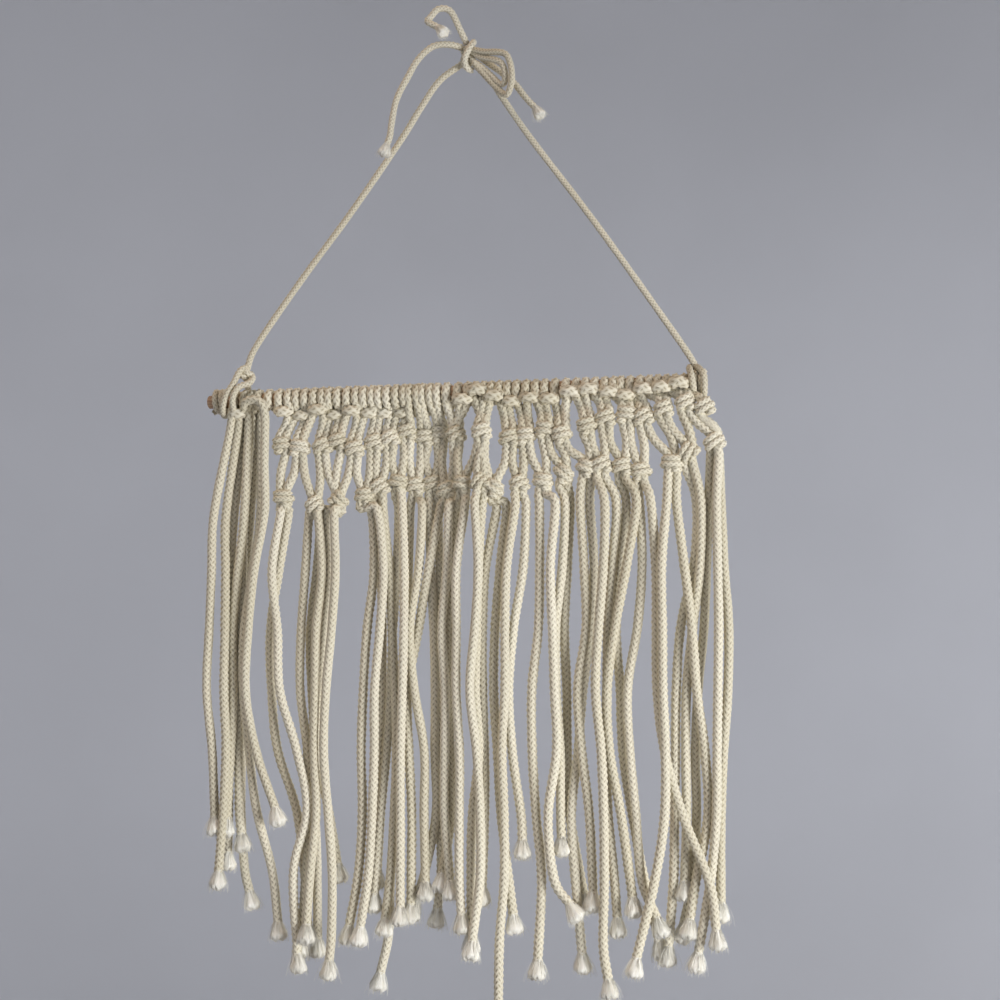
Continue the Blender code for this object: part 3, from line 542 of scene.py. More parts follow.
def frayed_end(heap, route, diameter, sizes):
    """The cord's end opened out: a soft core and loose fibres that spread from it."""
    neck = route[-1]
    last = route[-1] - route[-END_POINTS]
    ahead = last / np.linalg.norm(last) + END_WEIGHT
    ahead /= np.linalg.norm(ahead)
    side = np.cross(ahead, [0.0, 1.0, 0.0])
    side /= np.linalg.norm(side)
    place = (neck, ahead, side, np.cross(ahead, side))
    tone = heap.rng.uniform(0, 1)
    length = sizes.fray_length / MM * diameter / (sizes.cord_diameter / MM)
    tuft_core(heap, place, length, diameter / 2, tone)
    loose_fibres(heap, place, length, diameter / 2, sizes.fibres_per_end, tone)


def tuft_core(heap, place, length, width, tone):
    """The ridged body of a tuft, which widens from the cord and is ragged at its end."""
    rng = heap.rng
    neck, ahead, side, other = place
    share = np.linspace(0, 1, CORE_ROWS)
    turn = 2 * math.pi * np.arange(CORE_SIDES) / CORE_SIDES
    closing = np.clip((share - CORE_CLOSING) / (1 - CORE_CLOSING), 0, 1)
    flare = CORE_NECK + CORE_FLARE * (3 * share ** 2 - 2 * share ** 3)
    bell = width * flare * np.sqrt(1 - CORE_CLOSED * closing ** 2)
    ridges = rng.uniform(-1, 1, CORE_SIDES)[None, :]
    ridges = ridges + rng.uniform(-CORE_UNEVEN, CORE_UNEVEN, (CORE_ROWS, CORE_SIDES))
    bell = bell[:, None] * (1 + CORE_RIDGES * ridges * share[:, None])
    ragged = 1 + CORE_RAGS * rng.uniform(-1, 1, CORE_SIDES)[None, :] * share[:, None]
    fallen = (share[:, None] * length * CORE_REACH * ragged - CORE_SUNK)[..., None]
    out = side * np.cos(turn)[:, None] + other * np.sin(turn)[:, None]
    rings = neck + ahead * fallen + out[None, :, :] * bell[..., None]
    # Painted shade: the lower ridges take the darker cotton colour.
    heap.loft(rings, CORE_RELIEF[0] + CORE_RELIEF[1] * ridges, tone, CORE_ROW_LENGTH)


def loose_fibres(heap, place, length, width, count, tone):
    """Fine fibres that leave a cord's opened end and spread as they go."""
    rng = heap.rng
    neck, ahead, side, other = place
    angle = rng.uniform(0, 2 * math.pi, count)
    start = width * FIBRE_START * np.sqrt(rng.uniform(0, 1, count))
    spread = rng.normal(0.0, FIBRE_SPREAD, count) + FIBRE_FLARE * start / width
    reach = length * rng.uniform(*FIBRE_REACH, count)
    curl = rng.normal(0.0, FIBRE_CURL, count)
    share = np.linspace(0, 1, FIBRE_STATIONS)
    t = share[None, :, None]
    out = side * np.cos(angle)[:, None] + other * np.sin(angle)[:, None]
    skew = np.cross(out, ahead)
    base = neck - ahead + out * start[:, None]
    bow = spread[:, None, None] * (FIBRE_BOW[0] * t - FIBRE_BOW[1] * t * t)
    sway = skew[:, None, :] * curl[:, None, None] * t * t
    path = base[:, None, :] + reach[:, None, None] * (ahead * t + out[:, None, :] * bow + sway)
    thin = np.repeat((FIBRE_RADIUS * (1.0 - 0.5 * share))[:, None], FIBRE_SIDES, axis=1)
    corners = 2 * math.pi * np.arange(FIBRE_SIDES) / FIBRE_SIDES
    for fibre, direction, across in zip(path, out, skew):
        directions = np.broadcast_to(direction, fibre.shape)
        acrosses = np.broadcast_to(across, fibre.shape)
        rings = ring_points(fibre, directions, acrosses, thin, corners)
        heap.loft(rings, FIBRE_RELIEF, tone, FIBRE_ROW_LENGTH)


def rod_point(x, turned, radius):
    """A point round the rod: turned is measured down from its front, in radians."""
    return np.array([x, -radius * math.cos(turned), ROD_Z - radius * math.sin(turned)])


def bight_middle(head):
    """Where the middle of a lark's head's bight lies."""
    x, turned = head
    return rod_point(x, math.radians(turned), BIGHT_ORBIT)


def first_row_middle(index):
    """The place of a knot of the first row: its depth is the mean of the two bights above it."""
    x, drop, left, right = FIRST_ROW[index]
    depth = (bight_middle(LARKS_HEADS[left])[1] + bight_middle(LARKS_HEADS[right])[1]) / 2
    return np.array([x, depth, ROD_Z - drop])


def second_row_middle(index):
    """The place of a knot of the second row: its depth is the mean of the two knots above it."""
    x, drop, _, left, right = SECOND_ROW[index]
    depth = (first_row_middle(left)[1] + first_row_middle(right)[1]) / 2
    return np.array([x, depth, ROD_Z - drop])


def table_x(row_x, root, end_drop, drop):
    """A strand's x at a drop, on a smooth curve through its root and the table's columns."""
    columns = [FIRST_LEVEL + LEVEL_STEP * k for k in range(len(row_x) - 1)]
    drops = [root[1]] + columns + [end_drop]
    places = [root[0]] + list(row_x)
    k = min(max(int(np.searchsorted(drops, drop)) - 1, 0), len(drops) - 2)
    t = (drop - drops[k]) / (drops[k + 1] - drops[k])
    before = places[max(k - 1, 0)]
    after = places[min(k + 2, len(places) - 1)]
    return catmull(before, places[k], places[k + 1], after, t)


def fringe_strands():
    """The strands that leave the second row of knots."""
    strands = []
    for knot, side, top, low, end, places in FRINGE:
        middle = second_row_middle(knot - 1)
        root = (middle[0] + side * ROOT_SPREAD, ROD_Z - middle[2])
        strands.append({
            "root": root, "end": end, "x": places, "middle": middle, "side": side,
            "depth": (middle[1] + top, middle[1] * 0.5 + low), "back": top,
        })
    return strands


def loose_strands():
    """The strands that hang straight from the bar at the left."""
    strands = []
    for x, top, low, end, places in LOOSE:
        strands.append({
            "root": (x, LOOSE_ROOT), "end": end, "x": places, "depth": (top, low), "back": top,
        })
    return strands


def spread_depths(strands, drops):
    """Depths at each shared level, moved apart where strands cross, and kept off the wall."""
    count = len(strands)
    x = np.zeros((len(drops), count))
    y = np.zeros((len(drops), count))
    for k, drop in enumerate(drops):
        for n, strand in enumerate(strands):
            along = min(drop, strand["end"])
            share = (along - FIRST_LEVEL) / (strand["end"] - FIRST_LEVEL)
            x[k, n] = table_x(strand["x"], strand["root"], strand["end"], along)
            y[k, n] = strand["depth"][0] * (1 - share) + strand["depth"][1] * share
    later = np.arange(count)[:, None] - np.arange(count)[None, :]
    order = (y[:, :, None] - y[:, None, :] + SAME_DEPTH * later).sum(axis=0)
    behind = np.where(order > 0, 1.0, -1.0)[None]
    hangs = np.array([[drop <= strand["end"] + LEVEL_STEP for strand in strands] for drop in drops])
    both = hangs[:, :, None] & hangs[:, None, :] & ~np.eye(count, dtype=bool)[None]
    near = np.minimum(np.abs(x[:, :, None] - x[:, None, :]) / STRAND_GAP, 1.0)
    needed = np.where(both, STRAND_GAP * (1 - near ** SPREAD_ROUND) ** (1 / SPREAD_ROUND), 0.0)
    for turn in range(SPREAD_ROUNDS + SETTLE_ROUNDS):
        apart = behind * (y[:, :, None] - y[:, None, :])
        short = np.where(needed > 0, np.maximum(needed - apart, 0.0), 0.0)
        y += SPREAD_PUSH * (short * behind).sum(axis=2)
        if turn < SPREAD_ROUNDS:
            middle = (y[:-2] + y[2:]) / 2
            y[1:-1] += SPREAD_SMOOTH * (middle - y[1:-1])
        y = np.minimum(y, WALL_Y)
    return y


@functools.lru_cache(maxsize=1)
def hanging_strands():
    """Every strand that hangs free, with the drops of the shared levels and its depth at each."""
    strands = loose_strands() + fringe_strands()
    longest = max(strand["end"] for strand in strands)
    drops = np.arange(FIRST_LEVEL, longest + LEVEL_STEP, LEVEL_STEP)
    depths = spread_depths(strands, drops)
    return strands, drops, depths


def strand_route(n):
    """The points that a free strand hangs along, from its knot or the bar to its opened end."""
    strands, drops, depths = hanging_strands()
    strand = strands[n]
    if n < len(LOOSE):
        points = loose_lead(strand)
    else:
        points = fringe_lead(strand)
    if n == ARCH_STRAND:
        points = arch_lead()
    neck = strand["end"] - FRAY_LENGTH
    levels = list(np.arange(FIRST_LEVEL, neck - LAST_LEVEL_GAP, LEVEL_STEP)) + [neck]
    for drop in levels:
        x = table_x(strand["x"], strand["root"], strand["end"], drop)
        points.append((x, float(np.interp(drop, drops, depths[:, n])), ROD_Z - drop))
    return points


def loose_lead(strand):
    """From the back of the rod down to where a loose strand hangs free."""
    x, _ = strand["root"]
    top = strand["depth"][0]
    depth = min(max(top, LOOSE_DEPTHS[0]), LOOSE_DEPTHS[1])
    share, drop = LOOSE_BEND
    points = [rod_point(x, math.radians(angle), WRAP_RADIUS + past) for angle, past in LOOSE_BEHIND]
    points.append((x, depth + 1.0, ROD_Z - TAIL_DROP - 1.0))
    points.append((x, top * share + depth * (1 - share), ROD_Z - drop))
    return points


def arch_lead():
    """An arch in front of the rod, from beside the hitch over to where the strand hangs."""
    x = LARKS_HEADS[ARCH_HEAD][0]
    return [(x + beside, depth, ROD_Z - drop) for beside, depth, drop in ARCH]


def fringe_lead(strand):
    """From inside a knot of the second row down to just under it."""
    x, y, z = strand["middle"]
    side = strand["side"]
    back = min(max(strand["back"], LEAD_BACK[0]), LEAD_BACK[1]) * 0.5
    return [(x + side * beside, y + back * share, z + height) for beside, share, height in KNOT_LEAD]


def knot_wraps(heap, middle, tilt, sizes):
    """Close turns of cord drawn tight round a knot, its ends tucked behind."""
    rng = heap.rng
    hand = -1.0 if rng.uniform() < KNOT_SAME_HAND else 1.0
    grow = rng.uniform(*KNOT_GROWTH)
    lumps = rng.uniform(*KNOT_LUMPS, KNOT_LUMP_COUNT)
    half = KNOT_TURNS / 2
    across, depth, tuck = KNOT_TUCK
    points = [(-hand * across, depth, KNOT_PITCH * half * tuck)]
    for k in range(KNOT_STEPS + 1):
        turns = KNOT_TURNS * k / KNOT_STEPS
        angle = -math.pi / 2 + hand * 2 * math.pi * (turns - KNOT_FRONT)
        rise = KNOT_PITCH * (half - turns)
        lump = lumps[int(turns * KNOT_LUMP_RATE) % KNOT_LUMP_COUNT]
        out = grow * (1 + (lump - 1) * abs(math.cos(angle)))
        out *= 1 - KNOT_TAPER * (abs(rise) / (KNOT_PITCH * half)) ** 2
        points.append((KNOT_REACH[0] * out * math.cos(angle), KNOT_REACH[1] * math.sin(angle), rise))
    points.append((hand * across, depth, -KNOT_PITCH * half * tuck))
    turn = Matrix.Rotation(math.radians(tilt + rng.uniform(*KNOT_LEAN)), 3, "Y")
    placed = [np.array(turn @ Vector(point)) + middle for point in points]
    braided_cord(heap, placed, sizes.knot_cord_diameter / MM, sizes, necks=(True, True))


def bight_points(index, side):
    """From the middle of a lark's head's bight out to one side and sharply back to the rod."""
    x, turned = LARKS_HEADS[index]
    turned = math.radians(turned)
    return [
        rod_point(x + side * beside, turned + further, BIGHT_ORBIT + past)
        for beside, further, past in BIGHT_SIDE
    ]


def wrap_point(x, turned, radius=WRAP_RADIUS):
    """A point of a wrap, which hangs a little low on the rod."""
    share = (x - LARKS_HEADS[0][0]) / (LARKS_HEADS[-1][0] - LARKS_HEADS[0][0])
    sink = WRAP_SINK[0] + (WRAP_SINK[1] - WRAP_SINK[0]) * share
    return rod_point(x, turned, radius) - np.array([0.0, 0.0, sink])


def wrap_offset(index, side):
    """How far a head's wrap stands beside its middle, so that the wraps fill the rod."""
    if not 0 <= index + side < len(LARKS_HEADS):
        return WRAP_OFFSETS[0]
    room = abs(LARKS_HEADS[index + side][0] - LARKS_HEADS[index][0])
    return min(max(room / 4, WRAP_OFFSETS[0]), WRAP_OFFSETS[1])


def wrap_points(index, side):
    """Round the rod from the front, over its top and down its back, beside a head's middle."""
    x, turned = LARKS_HEADS[index]
    place = x + side * wrap_offset(index, side)
    angle = math.radians(turned) - WRAP_START
    points = []
    while angle > WRAP_END:
        points.append(wrap_point(place, angle))
        angle -= WRAP_STEP
    return points


def spare_turns(heap, sizes):
    """One more turn of cord wherever two heads leave the rod bare between them."""
    for index in range(len(LARKS_HEADS) - 1):
        low = LARKS_HEADS[index][0] + wrap_offset(index, 1)
        high = LARKS_HEADS[index + 1][0] - wrap_offset(index + 1, -1)
        if high - low < WIDEST_GAP:
            continue
        middle = (low + high) / 2
        points = [
            wrap_point(middle + SPARE_ADVANCE * k, SPARE_START - WRAP_STEP * k)
            for k in range(SPARE_STEPS + 1)
        ]
        braided_cord(heap, points, sizes.cord_diameter / MM, sizes)


def tail_points(index, side, middle):
    """A head's tail from under the rod, past its bight, down into a knot."""
    x, turned = LARKS_HEADS[index]
    if turned < BEHIND_BAR:
        leaves = max(turned + TAIL_LAG, LEAST_TAIL)
    else:
        leaves = turned - TAIL_TURN
    under = rod_point(x + side * TAIL_BESIDE[0], math.radians(leaves + TAIL_TURN), TAIL_ORBIT)
    start = rod_point(x + side * TAIL_BESIDE[1], math.radians(leaves), TAIL_ORBIT)
    entry = middle + np.array([-side * TAIL_INSET * 1.5, 0.0, KNOT_ENTRY[0]])
    end = middle + np.array([-side * TAIL_INSET, 0.0, KNOT_ENTRY[1]])
    share, sideways, back = TAIL_BOW
    bow = start * (1 - share) + entry * share + np.array([side * sideways, back, 0.0])
    return [under, start, bow, entry, end]


def knot_of_tail(index, side):
    """The first-row knot that a head's tail goes into, or None where the tail hangs loose."""
    for knot, (_, _, left, right) in enumerate(FIRST_ROW):
        if side > 0 and left == index:
            return knot
        if side < 0 and right == index and left != right:
            return knot
    for head, spare_side, knot in SPARE_TAILS:
        if (head, spare_side) == (index, side):
            return knot
    return None


def larks_head(heap, index, sizes):
    """One lark's head: its bight in front, two wraps round the rod and two tails to the knots."""
    x = LARKS_HEADS[index][0]
    halves = []
    necks = []
    for side in (-1, 1):
        half = bight_points(index, side) + wrap_points(index, side)
        knot = knot_of_tail(index, side)
        necks.append(knot is not None)
        if knot is None:
            half.append(wrap_point(x + side * 2.0, WRAP_END, WRAP_RADIUS - WRAP_SUNK))
        else:
            half += tail_points(index, side, first_row_middle(knot))
        halves.append(half)
    route = halves[0][:0:-1] + halves[1]
    middle = bight_middle(LARKS_HEADS[index])
    braided_cord(heap, route, sizes.cord_diameter / MM, sizes, necks=necks, stout=middle)


def arched_head(heap, sizes):
    """The wraps of the head whose cord leaves in a loose arch in front of the rod."""
    x, turned = LARKS_HEADS[ARCH_HEAD]
    diameter = sizes.cord_diameter / MM
    beside, further, deep = ARCH_FOOT
    for side in (-1, 1):
        foot = rod_point(x + side * beside, math.radians(turned + further), WRAP_RADIUS - deep)
        low = wrap_point(x + side * wrap_offset(ARCH_HEAD, side), math.radians(turned))
        end = wrap_point(x + side * beside, WRAP_END, WRAP_RADIUS - WRAP_SUNK)
        braided_cord(heap, [foot, low] + wrap_points(ARCH_HEAD, side) + [end], diameter, sizes)


def net_cord(heap, above, below, side, sizes):
    """A cord from a knot of the first row down into a knot of the second."""
    top = first_row_middle(above)
    low = second_row_middle(below)
    across = np.array([1.0, 0.0, 0.0])
    down = np.array([0.0, 0.0, -1.0])
    bow = heap.rng.uniform(*NET_CORD_BOW)
    lead = [side * beside * across - toward * down for beside, toward in NET_LEAD]
    points = [top - away for away in lead]
    points.append((top + low) / 2 + side * bow * across - np.array([0.0, NET_CORD_FRONT, 0.0]))
    points += [low + away for away in reversed(lead)]
    braided_cord(heap, points, sizes.cord_diameter / MM, sizes, necks=(True, True))


def rod_winding(left, right, turns, start, thin):
    """Turns of the thin cord wound round the rod between two places, from the given angle."""
    points = []
    orbit = ROD_RADIUS + thin / 2 + WINDING_ROOM
    steps = int(turns * WINDING_STEPS)
    for k in range(steps + 1):
        share = k / steps
        turned = math.radians(start) - 2 * math.pi * turns * share
        points.append(rod_point(left + (right - left) * share, turned, orbit))
    return points


def small_knot(heap, middle, tilt, thin, sizes):
    """Two close turns of the thin cord round a crossing."""
    turn = Matrix.Rotation(math.radians(tilt), 3, "Y")
    points = []
    for k in range(SMALL_KNOT_STEPS + 1):
        turns = SMALL_KNOT_TURNS * k / SMALL_KNOT_STEPS
        angle = -math.pi / 2 - 2 * math.pi * (turns - SMALL_KNOT_FRONT)
        rise = thin * SMALL_KNOT_PITCH * (SMALL_KNOT_TURNS / 2 - turns)
        points.append((SMALL_KNOT_REACH[0] * math.cos(angle), SMALL_KNOT_REACH[1] * math.sin(angle), rise))
    placed = [np.array(turn @ Vector(point)) + np.array(middle) for point in points]
    braided_cord(heap, placed, thin, sizes, necks=(True, True))


def fill(tree, slot, value):
    """Links another node's output to a slot, or sets a number or a colour on it."""
    if isinstance(value, bpy.types.NodeSocket):
        tree.links.new(value, slot)
    else:
        slot.default_value = value


def math_node(tree, operation, *values):
    """A Math node's output, from sockets or numbers."""
    node = tree.nodes.new("ShaderNodeMath")
    node.operation = operation
    for slot, value in zip(node.inputs, values):
        fill(tree, slot, value)
    return node.outputs[0]


def swing(tree, value, share):
    """A value from 0 to 1, made to swing about zero and taken by its share."""
    return math_node(tree, "MULTIPLY", math_node(tree, "SUBTRACT", value, 0.5), share)


def mixed(tree, factor, first, second):
    """A mix of two colours; returns its output."""
    node = tree.nodes.new("ShaderNodeMix")
    node.data_type = "RGBA"
    for slot, value in ((node.inputs[0], factor), (node.inputs[6], first), (node.inputs[7], second)):
        fill(tree, slot, value)
    return node.outputs[2]


def object_place(tree):
    """The place on the object itself, which a pattern is fixed to."""
    return tree.nodes.new("ShaderNodeTexCoord").outputs["Object"]


def mapped(tree, vector, setting, value):
    """A vector through a Mapping node with one of its settings given."""
    node = tree.nodes.new("ShaderNodeMapping")
    node.inputs[setting].default_value = value
    tree.links.new(vector, node.inputs["Vector"])
    return node.outputs["Vector"]


def ranged(tree, value, low, high, out_low, out_high):
    """A value carried from one range to another, smoothly and held at its ends."""
    node = tree.nodes.new("ShaderNodeMapRange")
    node.interpolation_type = "SMOOTHSTEP"
    for name, number in (("From Min", low), ("From Max", high), ("To Min", out_low), ("To Max", out_high)):
        node.inputs[name].default_value = number
    tree.links.new(value, node.inputs["Value"])
    return node.outputs["Result"]


def noise(tree, vector, scale, detail, roughness=0.5):
    """A noise texture's value at a vector."""
    node = tree.nodes.new("ShaderNodeTexNoise")
    node.inputs["Scale"].default_value = scale
    node.inputs["Detail"].default_value = detail
    node.inputs["Roughness"].default_value = roughness
    tree.links.new(vector, node.inputs["Vector"])
    return node.outputs["Fac"]


def new_group(name, inputs, outputs):
    """An empty node group with named inputs and outputs."""
    group = bpy.data.node_groups.new(name, "ShaderNodeTree")
    for label, kind, default in inputs:
        socket = group.interface.new_socket(label, in_out="INPUT", socket_type=kind)
        socket.default_value = default
    for label, kind in outputs:
        group.interface.new_socket(label, in_out="OUTPUT", socket_type=kind)
    return group


def fibre_vector(tree, tone):
    """Coordinates that run along the yarns, which lean one way and then the other round the cord."""
    uv = tree.nodes.new("ShaderNodeUVMap")
    uv.uv_map = "CordUV"
    parts = tree.nodes.new("ShaderNodeSeparateXYZ")
    tree.links.new(uv.outputs["UV"], parts.inputs[0])
    around, along = parts.outputs[0], parts.outputs[1]
    wave = math_node(tree, "COSINE", math_node(tree, "MULTIPLY", around, 2 * math.pi * CARRIERS))
    slanted = math_node(tree, "MULTIPLY", math_node(tree, "SIGN", wave), around)
    joined = tree.nodes.new("ShaderNodeCombineXYZ")
    for slot, value, scale in (
        (joined.inputs[0], math_node(tree, "SUBTRACT", along, slanted), FIBRES_ACROSS),
        (joined.inputs[1], math_node(tree, "ADD", along, slanted), FIBRES_ALONG),
        (joined.inputs[2], tone, TONE_SHIFT),
    ):
        fill(tree, slot, math_node(tree, "MULTIPLY", value, scale))
    return joined.outputs[0]


def attribute_value(tree, name):
    """The value of a mesh attribute."""
    node = tree.nodes.new("ShaderNodeAttribute")
    node.attribute_name = name
    return node.outputs["Fac"]


def cotton_yarn_group():
    """Braided cotton: painted shade in the hollows, fine fibres, a slow stain and each cord's own tone."""
    found = bpy.data.node_groups.get("Cotton Yarn")
    if found:
        return found
    tree = new_group(
        "Cotton Yarn",
        [("Yarn Colour", "NodeSocketColor", (0.8, 0.75, 0.65, 1)),
         ("Hollow Colour", "NodeSocketColor", (0.5, 0.4, 0.3, 1)),
         ("Fibre Contrast", "NodeSocketFloat", 0.3),
         ("Tone Spread", "NodeSocketFloat", 0.2)],
        [("Colour", "NodeSocketColor"), ("Roughness", "NodeSocketFloat"), ("Height", "NodeSocketFloat")],
    )
    given = tree.nodes.new("NodeGroupInput")
    result = tree.nodes.new("NodeGroupOutput")
    tone = attribute_value(tree, "tone")
    relief = attribute_value(tree, "relief")
    fibre = noise(tree, fibre_vector(tree, tone), 1.0, 1.0)
    stain = noise(tree, object_place(tree), STAIN_SCALE, 1.0)
    # Painted shade: the lower the relief between the yarns, the more of the darker hollow colour.
    clear_of_shade = ranged(tree, relief, -1.0, 0.6, 0.0, 1.0)
    colour = mixed(tree, clear_of_shade, given.outputs["Hollow Colour"], given.outputs["Yarn Colour"])
    yarns = math_node(tree, "ADD", swing(tree, fibre, given.outputs["Fibre Contrast"]),
                      swing(tree, tone, given.outputs["Tone Spread"]))
    light = math_node(tree, "ADD", yarns, swing(tree, stain, STAIN_SPREAD))
    value = tree.nodes.new("ShaderNodeHueSaturation")
    tree.links.new(math_node(tree, "ADD", light, 1.0), value.inputs["Value"])
    tree.links.new(math_node(tree, "SUBTRACT", 1.0, light), value.inputs["Saturation"])
    tree.links.new(colour, value.inputs["Color"])
    tree.links.new(value.outputs["Color"], result.inputs["Colour"])
    tree.links.new(ranged(tree, fibre, 0.2, 0.8, 0.95, 0.78), result.inputs["Roughness"])
    tree.links.new(fibre, result.inputs["Height"])
    return tree


def new_finish(name):
    """A new finish, its nodes and its shader."""
    finish = bpy.data.materials.new(name)
    finish.use_nodes = True
    return finish, finish.node_tree, finish.node_tree.nodes["Principled BSDF"]


def finish_surface(tree, shader, colour, roughness, height, strength, depth):
    """Links a shader's colour, roughness and fine relief; the depth is in millimetres."""
    bump = tree.nodes.new("ShaderNodeBump")
    bump.inputs["Strength"].default_value = strength
    bump.inputs["Distance"].default_value = depth * MM
    tree.links.new(height, bump.inputs["Height"])
    tree.links.new(bump.outputs["Normal"], shader.inputs["Normal"])
    tree.links.new(colour, shader.inputs["Base Color"])
    tree.links.new(roughness, shader.inputs["Roughness"])


def cotton_material(name, yarn, hollow_shade, contrast, depth):
    """A soft cotton finish from the yarn group."""
    finish, tree, shader = new_finish(name)
    group = tree.nodes.new("ShaderNodeGroup")
    group.node_tree = cotton_yarn_group()
    group.inputs["Yarn Colour"].default_value = (*yarn, 1)
    group.inputs["Hollow Colour"].default_value = (*hollow_shade, 1)
    group.inputs["Fibre Contrast"].default_value = contrast
    group.inputs["Tone Spread"].default_value = TONE_SPREAD
    given = group.outputs
    finish_surface(tree, shader, given["Colour"], given["Roughness"], given["Height"], COTTON_BUMP, depth)
    shader.inputs["Specular IOR Level"].default_value = COTTON_SPECULAR
    return finish


def finish_named(name, colours):
    """The finish with a name, made once from the chosen colours."""
    found = bpy.data.materials.get(name)
    if found:
        return found
    yarn, hollow_shade, contrast, depth = COTTONS[name]
    return cotton_material(name, getattr(colours, yarn), getattr(colours, hollow_shade), contrast, depth)


def wood_material(colours):
    """A plain dowel: long grain, darker growth bands and a worn, dull surface."""
    finish, tree, shader = new_finish("plain_dowel")
    place = object_place(tree)
    grain = noise(tree, mapped(tree, place, "Scale", GRAIN_SCALE), 1.0, 4.0, 0.6)
    bands = tree.nodes.new("ShaderNodeTexWave")
    bands.wave_type = "RINGS"
    bands.rings_direction = "X"
    for name, value in (("Scale", RING_SCALE), ("Distortion", 3.0), ("Detail", 2.0)):
        bands.inputs[name].default_value = value
    tree.links.new(mapped(tree, place, "Location", RING_MIDDLE), bands.inputs["Vector"])
    dark = (*colours.wood_dark, 1)
    ringed = mixed(tree, ranged(tree, bands.outputs["Fac"], 0.1, 0.9, 0.0, 0.55), (*colours.wood, 1), dark)
    colour = mixed(tree, ranged(tree, grain, 0.42, 0.75, 0.0, 0.75), ringed, dark)
    roughness = ranged(tree, grain, 0.2, 0.8, 0.5, 0.78)
    finish_surface(tree, shader, colour, roughness, grain, WOOD_BUMP, WOOD_BUMP_DEPTH)
    return finish


def backdrop_material(colour):
    """Matt paint with a faint unevenness."""
    finish, tree, shader = new_finish("matt_backdrop")
    cloud = ranged(tree, noise(tree, object_place(tree), 1.2, 3.0), 0.3, 0.7, 0.0, 1.0)
    shade = tuple(BACKDROP_SHADE * channel for channel in colour)
    tree.links.new(mixed(tree, cloud, (*colour, 1), (*shade, 1)), shader.inputs["Base Color"])
    shader.inputs["Roughness"].default_value = BACKDROP_ROUGHNESS
    return finish


def length_prop(name, description, default):
    """A length property in metres, given in millimetres."""
    return bpy.props.FloatProperty(
        name=name, description=description, default=default * MM, min=0.1 * MM, max=100 * MM,
        precision=4, unit="LENGTH", subtype="DISTANCE",
    )


def colour_prop(name, description, default):
    """A colour property."""
    return bpy.props.FloatVectorProperty(
        name=name, description=description, default=default, size=3, min=0.0, max=1.0, subtype="COLOR",
    )


def power_prop(name, description, default):
    """A lamp power property in watts."""
    return bpy.props.FloatProperty(
        name=name, description=description, default=default, min=0.0, unit="POWER",
    )


class HangingSizes(bpy.types.PropertyGroup):
    """Sizes of the cords and their ends."""

    cord_diameter: length_prop("Cord", "Diameter of the braided cord of the knotted work", 5.2)
    knot_cord_diameter: length_prop("Cord in knots", "Diameter of the cord drawn tight in a knot", 3.9)
    thin_cord_diameter: length_prop("Hanging cord", "Diameter of the thinner cord that hangs the rod", 3.8)
    fray_length: length_prop("Opened ends", "Length of the fibres at each cord's end", 12.0)
    fibres_per_end: bpy.props.IntProperty(
        name="Fibres", description="Loose fibres at each cord's end", default=150, min=10, max=160,
    )
    braid_relief: bpy.props.FloatProperty(
        name="Braid relief", default=0.26, min=0.0, max=0.3, subtype="FACTOR",
        description="How far the braid's crossings stand out, as a share of the radius",
    )


class HangingColours(bpy.types.PropertyGroup):
    """Colours of the cotton, the rod and the stage."""

    cotton: colour_prop("Cotton", "Colour of the raised yarns", (0.79, 0.73, 0.57))
    # Painted shade: the darker colour in the hollows between the yarns.
    cotton_painted_shade: colour_prop("Cotton hollows", "Colour between the yarns", (0.37, 0.31, 0.20))
    thin_cotton: colour_prop("Hanging cord", "Colour of the thin cord", (0.76, 0.70, 0.55))
    # Painted shade: the darker colour in the hollows between the thin cord's yarns.
    thin_painted_shade: colour_prop("Thin hollows", "Colour between the thin cord's yarns", (0.37, 0.31, 0.20))
    fray: colour_prop("Opened ends", "Colour of the loose fibres", (0.84, 0.81, 0.72))
    wood: colour_prop("Wood", "Colour of the rod", (0.50, 0.33, 0.20))
    wood_dark: colour_prop("Wood grain", "Colour of the rod's grain and growth bands", (0.27, 0.16, 0.09))
    backdrop: colour_prop("Backdrop", "Colour of the floor and the round backdrop", (0.70, 0.70, 0.73))


class HangingStage(bpy.types.PropertyGroup):
    """Lamps of the stage."""

    key_power: power_prop("Key", "Large soft lamp low at the right", 4.5)
    fill_power: power_prop("Fill", "Warm soft lamp above at the left", 2.6)
    back_power: power_prop("Back", "Soft lamp behind the hanging", 6.0)
    wall_power: power_prop("Walls", "Each of two soft lamps on the backdrop alone", 22.0)
    sky: bpy.props.FloatProperty(
        name="Sky", description="Strength of the even light from above", default=0.23, min=0.0,
    )


class LarksHeadsOperator(bpy.types.Operator):
    """Tie the row of lark's heads round the rod, with their tails down to the first knots"""

    bl_idname = "hanging.larks_heads"
    bl_label = "Lark's Heads"

    def execute(self, context):
        sizes = context.scene.hanging_sizes
        heap = Heap(SEEDS["heads"])
        for index in range(len(LARKS_HEADS)):
            if index == ARCH_HEAD:
                arched_head(heap, sizes)
            else:
                larks_head(heap, index, sizes)
        spare_turns(heap, sizes)
        finish = finish_named("braided_cotton", context.scene.hanging_colours)
        heap.piece("larks_heads", finish, "cotton_braid", "macrame", "loose_strands")
        return {"FINISHED"}


